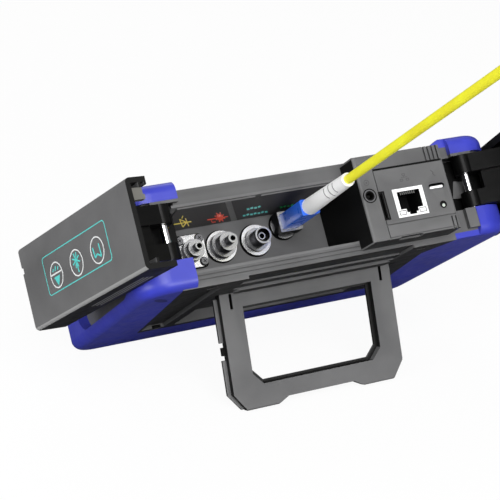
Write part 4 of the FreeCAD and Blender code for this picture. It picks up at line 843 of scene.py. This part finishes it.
def build_rings():
    """Rims of the power socket and the charging lamp, black rings of painted shade round the ports
    and the meter's flange, and a painted glint on the charging lamp.
    """
    rims, sleeve, shades, lamp_rim = (bmesh.new() for _ in range(4))
    for rim in JACK_RIMS:
        ring(rims, 0, 0, *rim)
    black_piece("jack_rims", rims, face_frame(*POWER))
    ring(sleeve, 0, 0, *JACK_SLEEVE)
    piece("jack_sleeve", sleeve, face_frame(*POWER), DARK_STEEL, "unit")
    plates("lamp_glint", [ring_points(*GLINT_FROM_POWER, GLINT_RADIUS, GLINT_POINTS)],
           GLINT_THICKNESS, face_frame(*POWER, GLINT_DEPTH), LAMP)
    # Painted shade: black rings round the ports and the meter's flange.
    for x, z, radius in PORT_SHADE_RINGS:
        ring(shades, x, z, radius + SHADE_OUT, radius - SHADE_IN, SHADE_RING_THICKNESS, SHADE_POINTS)
    outlines = [[point for x, z, start in METER_CORNERS
                 for point in ring_points(METER[0] + x, METER[1] + z, radius, CORNER_POINTS, start,
                                          pi / 2)] for radius in METER_SHADE_RING]
    band(shades, *outlines, SHADE_RING_THICKNESS)
    black_piece("port_shades", shades, face_frame(0, 0, PANEL_DEPTH - SKIN))
    ring(lamp_rim, 0, 0, *LAMP_RIM)
    black_piece("lamp_rim", lamp_rim, face_frame(*CHARGE_LAMP))


METER_SCREWS = ((-SCREW_X, -SCREW_Z), (SCREW_X, -SCREW_Z), (-SCREW_X, SCREW_Z), (SCREW_X, SCREW_Z))
SCREW_GAP_OUTER, SCREW_GAP_INNER, SCREW_GAP_THICKNESS = 2.2, 1.65, 0.06
SCREW_HEAD = 1.1
SLOT_TURNS = (0.5, 0.5 + pi / 2)
SLOT_REACH, SLOT_WIDTH, SLOT_THICKNESS = 1.0, 0.35, 0.04


def build_screw_shades():
    """Painted shade on the power meter's screws: black crosses in their slots, and black rings in
    the gaps round their heads.
    """
    gaps, slots = bmesh.new(), bmesh.new()
    for x, z in METER_SCREWS:
        ring(gaps, x, z, SCREW_GAP_OUTER, SCREW_GAP_INNER, SCREW_GAP_THICKNESS)
        for turn in SLOT_TURNS:
            dx, dy = SLOT_REACH * cos(turn), SLOT_REACH * sin(turn)
            stroke(slots, [(x - dx, z - dy), (x + dx, z + dy)], SLOT_WIDTH, SLOT_THICKNESS)
    plate_depth = PANEL_DEPTH - METER_PLATE
    black_piece("screw_gap_shades", gaps, face_frame(*METER, plate_depth - SKIN))
    black_piece("screw_slot_shades", slots, face_frame(*METER, plate_depth - SCREW_HEAD))


build_network_face()
build_boot_ribs()
build_face_marks()
build_plates_and_painted_shades()
build_rings()
build_screw_shades()


# Stage: floor, surround, light and the photograph's camera, in metres

FLOOR_SIZE = 8
FLOOR_ROUGHNESS = 0.9
FLOOR_GLOW = 0.94
FLOOR_PAPER = (0.97, 0.97, 0.97)
FLOOR_CAST = (0.14, 0.14, 0.14)
SKY_CAST = (0.15, 0.15, 0.15)
WHITE_LIGHT = (1, 1, 1)
SKY_BOTTOM, SKY_TOP = 0.02, 0.5
SKY_BANDS = ((0.2, 0.03), (0.28, 0.6), (0.4, 0.6), (0.46, 0.05), (0.56, 0.05), (0.61, 0.95),
             (0.72, 0.95), (0.8, 0.05))

# Each lamp's name, place, aim, size and power

LAMPS = (("key", (-0.25, -1.1, 0.95), (0, 0, 0.08), 0.8, 16.5),
         ("left", (-1.2, -0.35, 0.35), (-0.1, 0, 0.08), 0.6, 10),
         ("low", (0.2, -1.0, 0.06), (0.02, 0, 0.08), 0.5, 8),
         ("back", (0.1, 0.9, 0.9), (0, 0, 0.08), 0.8, 4))

# The camera's place and view in the unit's frame, and how far the aim is off the view

CAMERA_IN_UNIT = Vector((-335.2, -655.3, -135.6)) * MM
VIEW = (0.4447, 0.8772, 0.1815)
VIEW_RIGHT = (0.8829, -0.3953, -0.2534)
OFF_RIGHT = -0.0479
OFF_UP = -0.0279
LENS = 119.5
SENSOR = 36
NEAREST = 0.01


def sees_background(nodes, links, path):
    """One for the rays that see the white background: the camera's, and those through glass."""
    either = nodes.new("ShaderNodeMath")
    either.operation = "MAXIMUM"
    links.new(path.outputs["Is Camera Ray"], either.inputs[0])
    links.new(path.outputs["Is Transmission Ray"], either.inputs[1])
    return either.outputs["Value"]


def build_floor():
    """A white floor: it glows for the camera, with a faint shadow, and lights the object little."""
    bpy.ops.mesh.primitive_plane_add(size=FLOOR_SIZE, location=(0, 0, 0))
    floor = bpy.context.object
    floor.name = "floor"
    made, nodes, links, shader = new_material("floor_paper")
    seeing = sees_background(nodes, links, nodes.new("ShaderNodeLightPath"))
    paper = colour_mix(nodes, links, seeing, FLOOR_CAST, FLOOR_PAPER)
    links.new(paper, shader.inputs["Base Color"])
    shader.inputs["Roughness"].default_value = FLOOR_ROUGHNESS
    glow = nodes.new("ShaderNodeEmission")
    glow.inputs["Color"].default_value = (*WHITE_LIGHT, 1)
    share = nodes.new("ShaderNodeMath")
    share.operation = "MULTIPLY"
    share.inputs[1].default_value = FLOOR_GLOW
    links.new(seeing, share.inputs[0])
    both = nodes.new("ShaderNodeMixShader")
    links.new(share.outputs["Value"], both.inputs["Fac"])
    links.new(shader.outputs["BSDF"], both.inputs[1])
    links.new(glow.outputs["Emission"], both.inputs[2])
    links.new(both.outputs["Shader"], nodes["Material Output"].inputs["Surface"])
    floor.data.materials.append(made)


def build_surround():
    """A white surround that gives little light, with bands for polished metal to mirror."""
    world = bpy.data.worlds.new("studio")
    bpy.context.scene.world = world
    world.use_nodes = True
    nodes, links = world.node_tree.nodes, world.node_tree.links
    path = nodes.new("ShaderNodeLightPath")
    place = nodes.new("ShaderNodeTexCoord")
    apart = nodes.new("ShaderNodeSeparateXYZ")
    links.new(place.outputs["Generated"], apart.inputs["Vector"])
    bands = ramp(nodes, links, apart.outputs["Z"], (0, 1), (SKY_BOTTOM,) * 3, (SKY_TOP,) * 3)
    for position, level in SKY_BANDS:
        stop = bands.node.color_ramp.elements.new(position)
        stop.color = (level, level, level, 1)
    cast = colour_mix(nodes, links, path.outputs["Is Glossy Ray"], SKY_CAST, bands)
    seen = colour_mix(nodes, links, sees_background(nodes, links, path), cast, WHITE_LIGHT)
    links.new(seen, nodes["Background"].inputs["Color"])


def area_light(name, place, aim, size, power):
    lamp = bpy.data.lights.new(name, "AREA")
    lamp.size = size
    lamp.energy = power
    holder = bpy.data.objects.new(name, lamp)
    bpy.context.collection.objects.link(holder)
    holder.location = place
    holder.rotation_euler = (Vector(aim) - Vector(place)).to_track_quat("-Z", "Y").to_euler()


def build_camera():
    """The photograph's view, held to the unit and aimed so that it stands as in the picture."""
    ahead, right = way(UNIT, *VIEW), way(UNIT, *VIEW_RIGHT)
    aim = (ahead + OFF_RIGHT * right + OFF_UP * right.cross(ahead)).normalized()
    side = (right - right.dot(aim) * aim).normalized()
    pose = Matrix((side, side.cross(aim), -aim)).transposed().to_4x4()
    data = bpy.data.cameras.new("camera")
    data.lens = LENS
    data.sensor_width = SENSOR
    data.clip_start = NEAREST
    holder = bpy.data.objects.new("camera", data)
    bpy.context.collection.objects.link(holder)
    holder.matrix_world = Matrix.Translation(UNIT @ CAMERA_IN_UNIT) @ pose
    bpy.context.scene.camera = holder


build_floor()
build_surround()
for lamp in LAMPS:
    area_light(*lamp)
build_camera()
bpy.context.scene.view_settings.view_transform = "Standard"
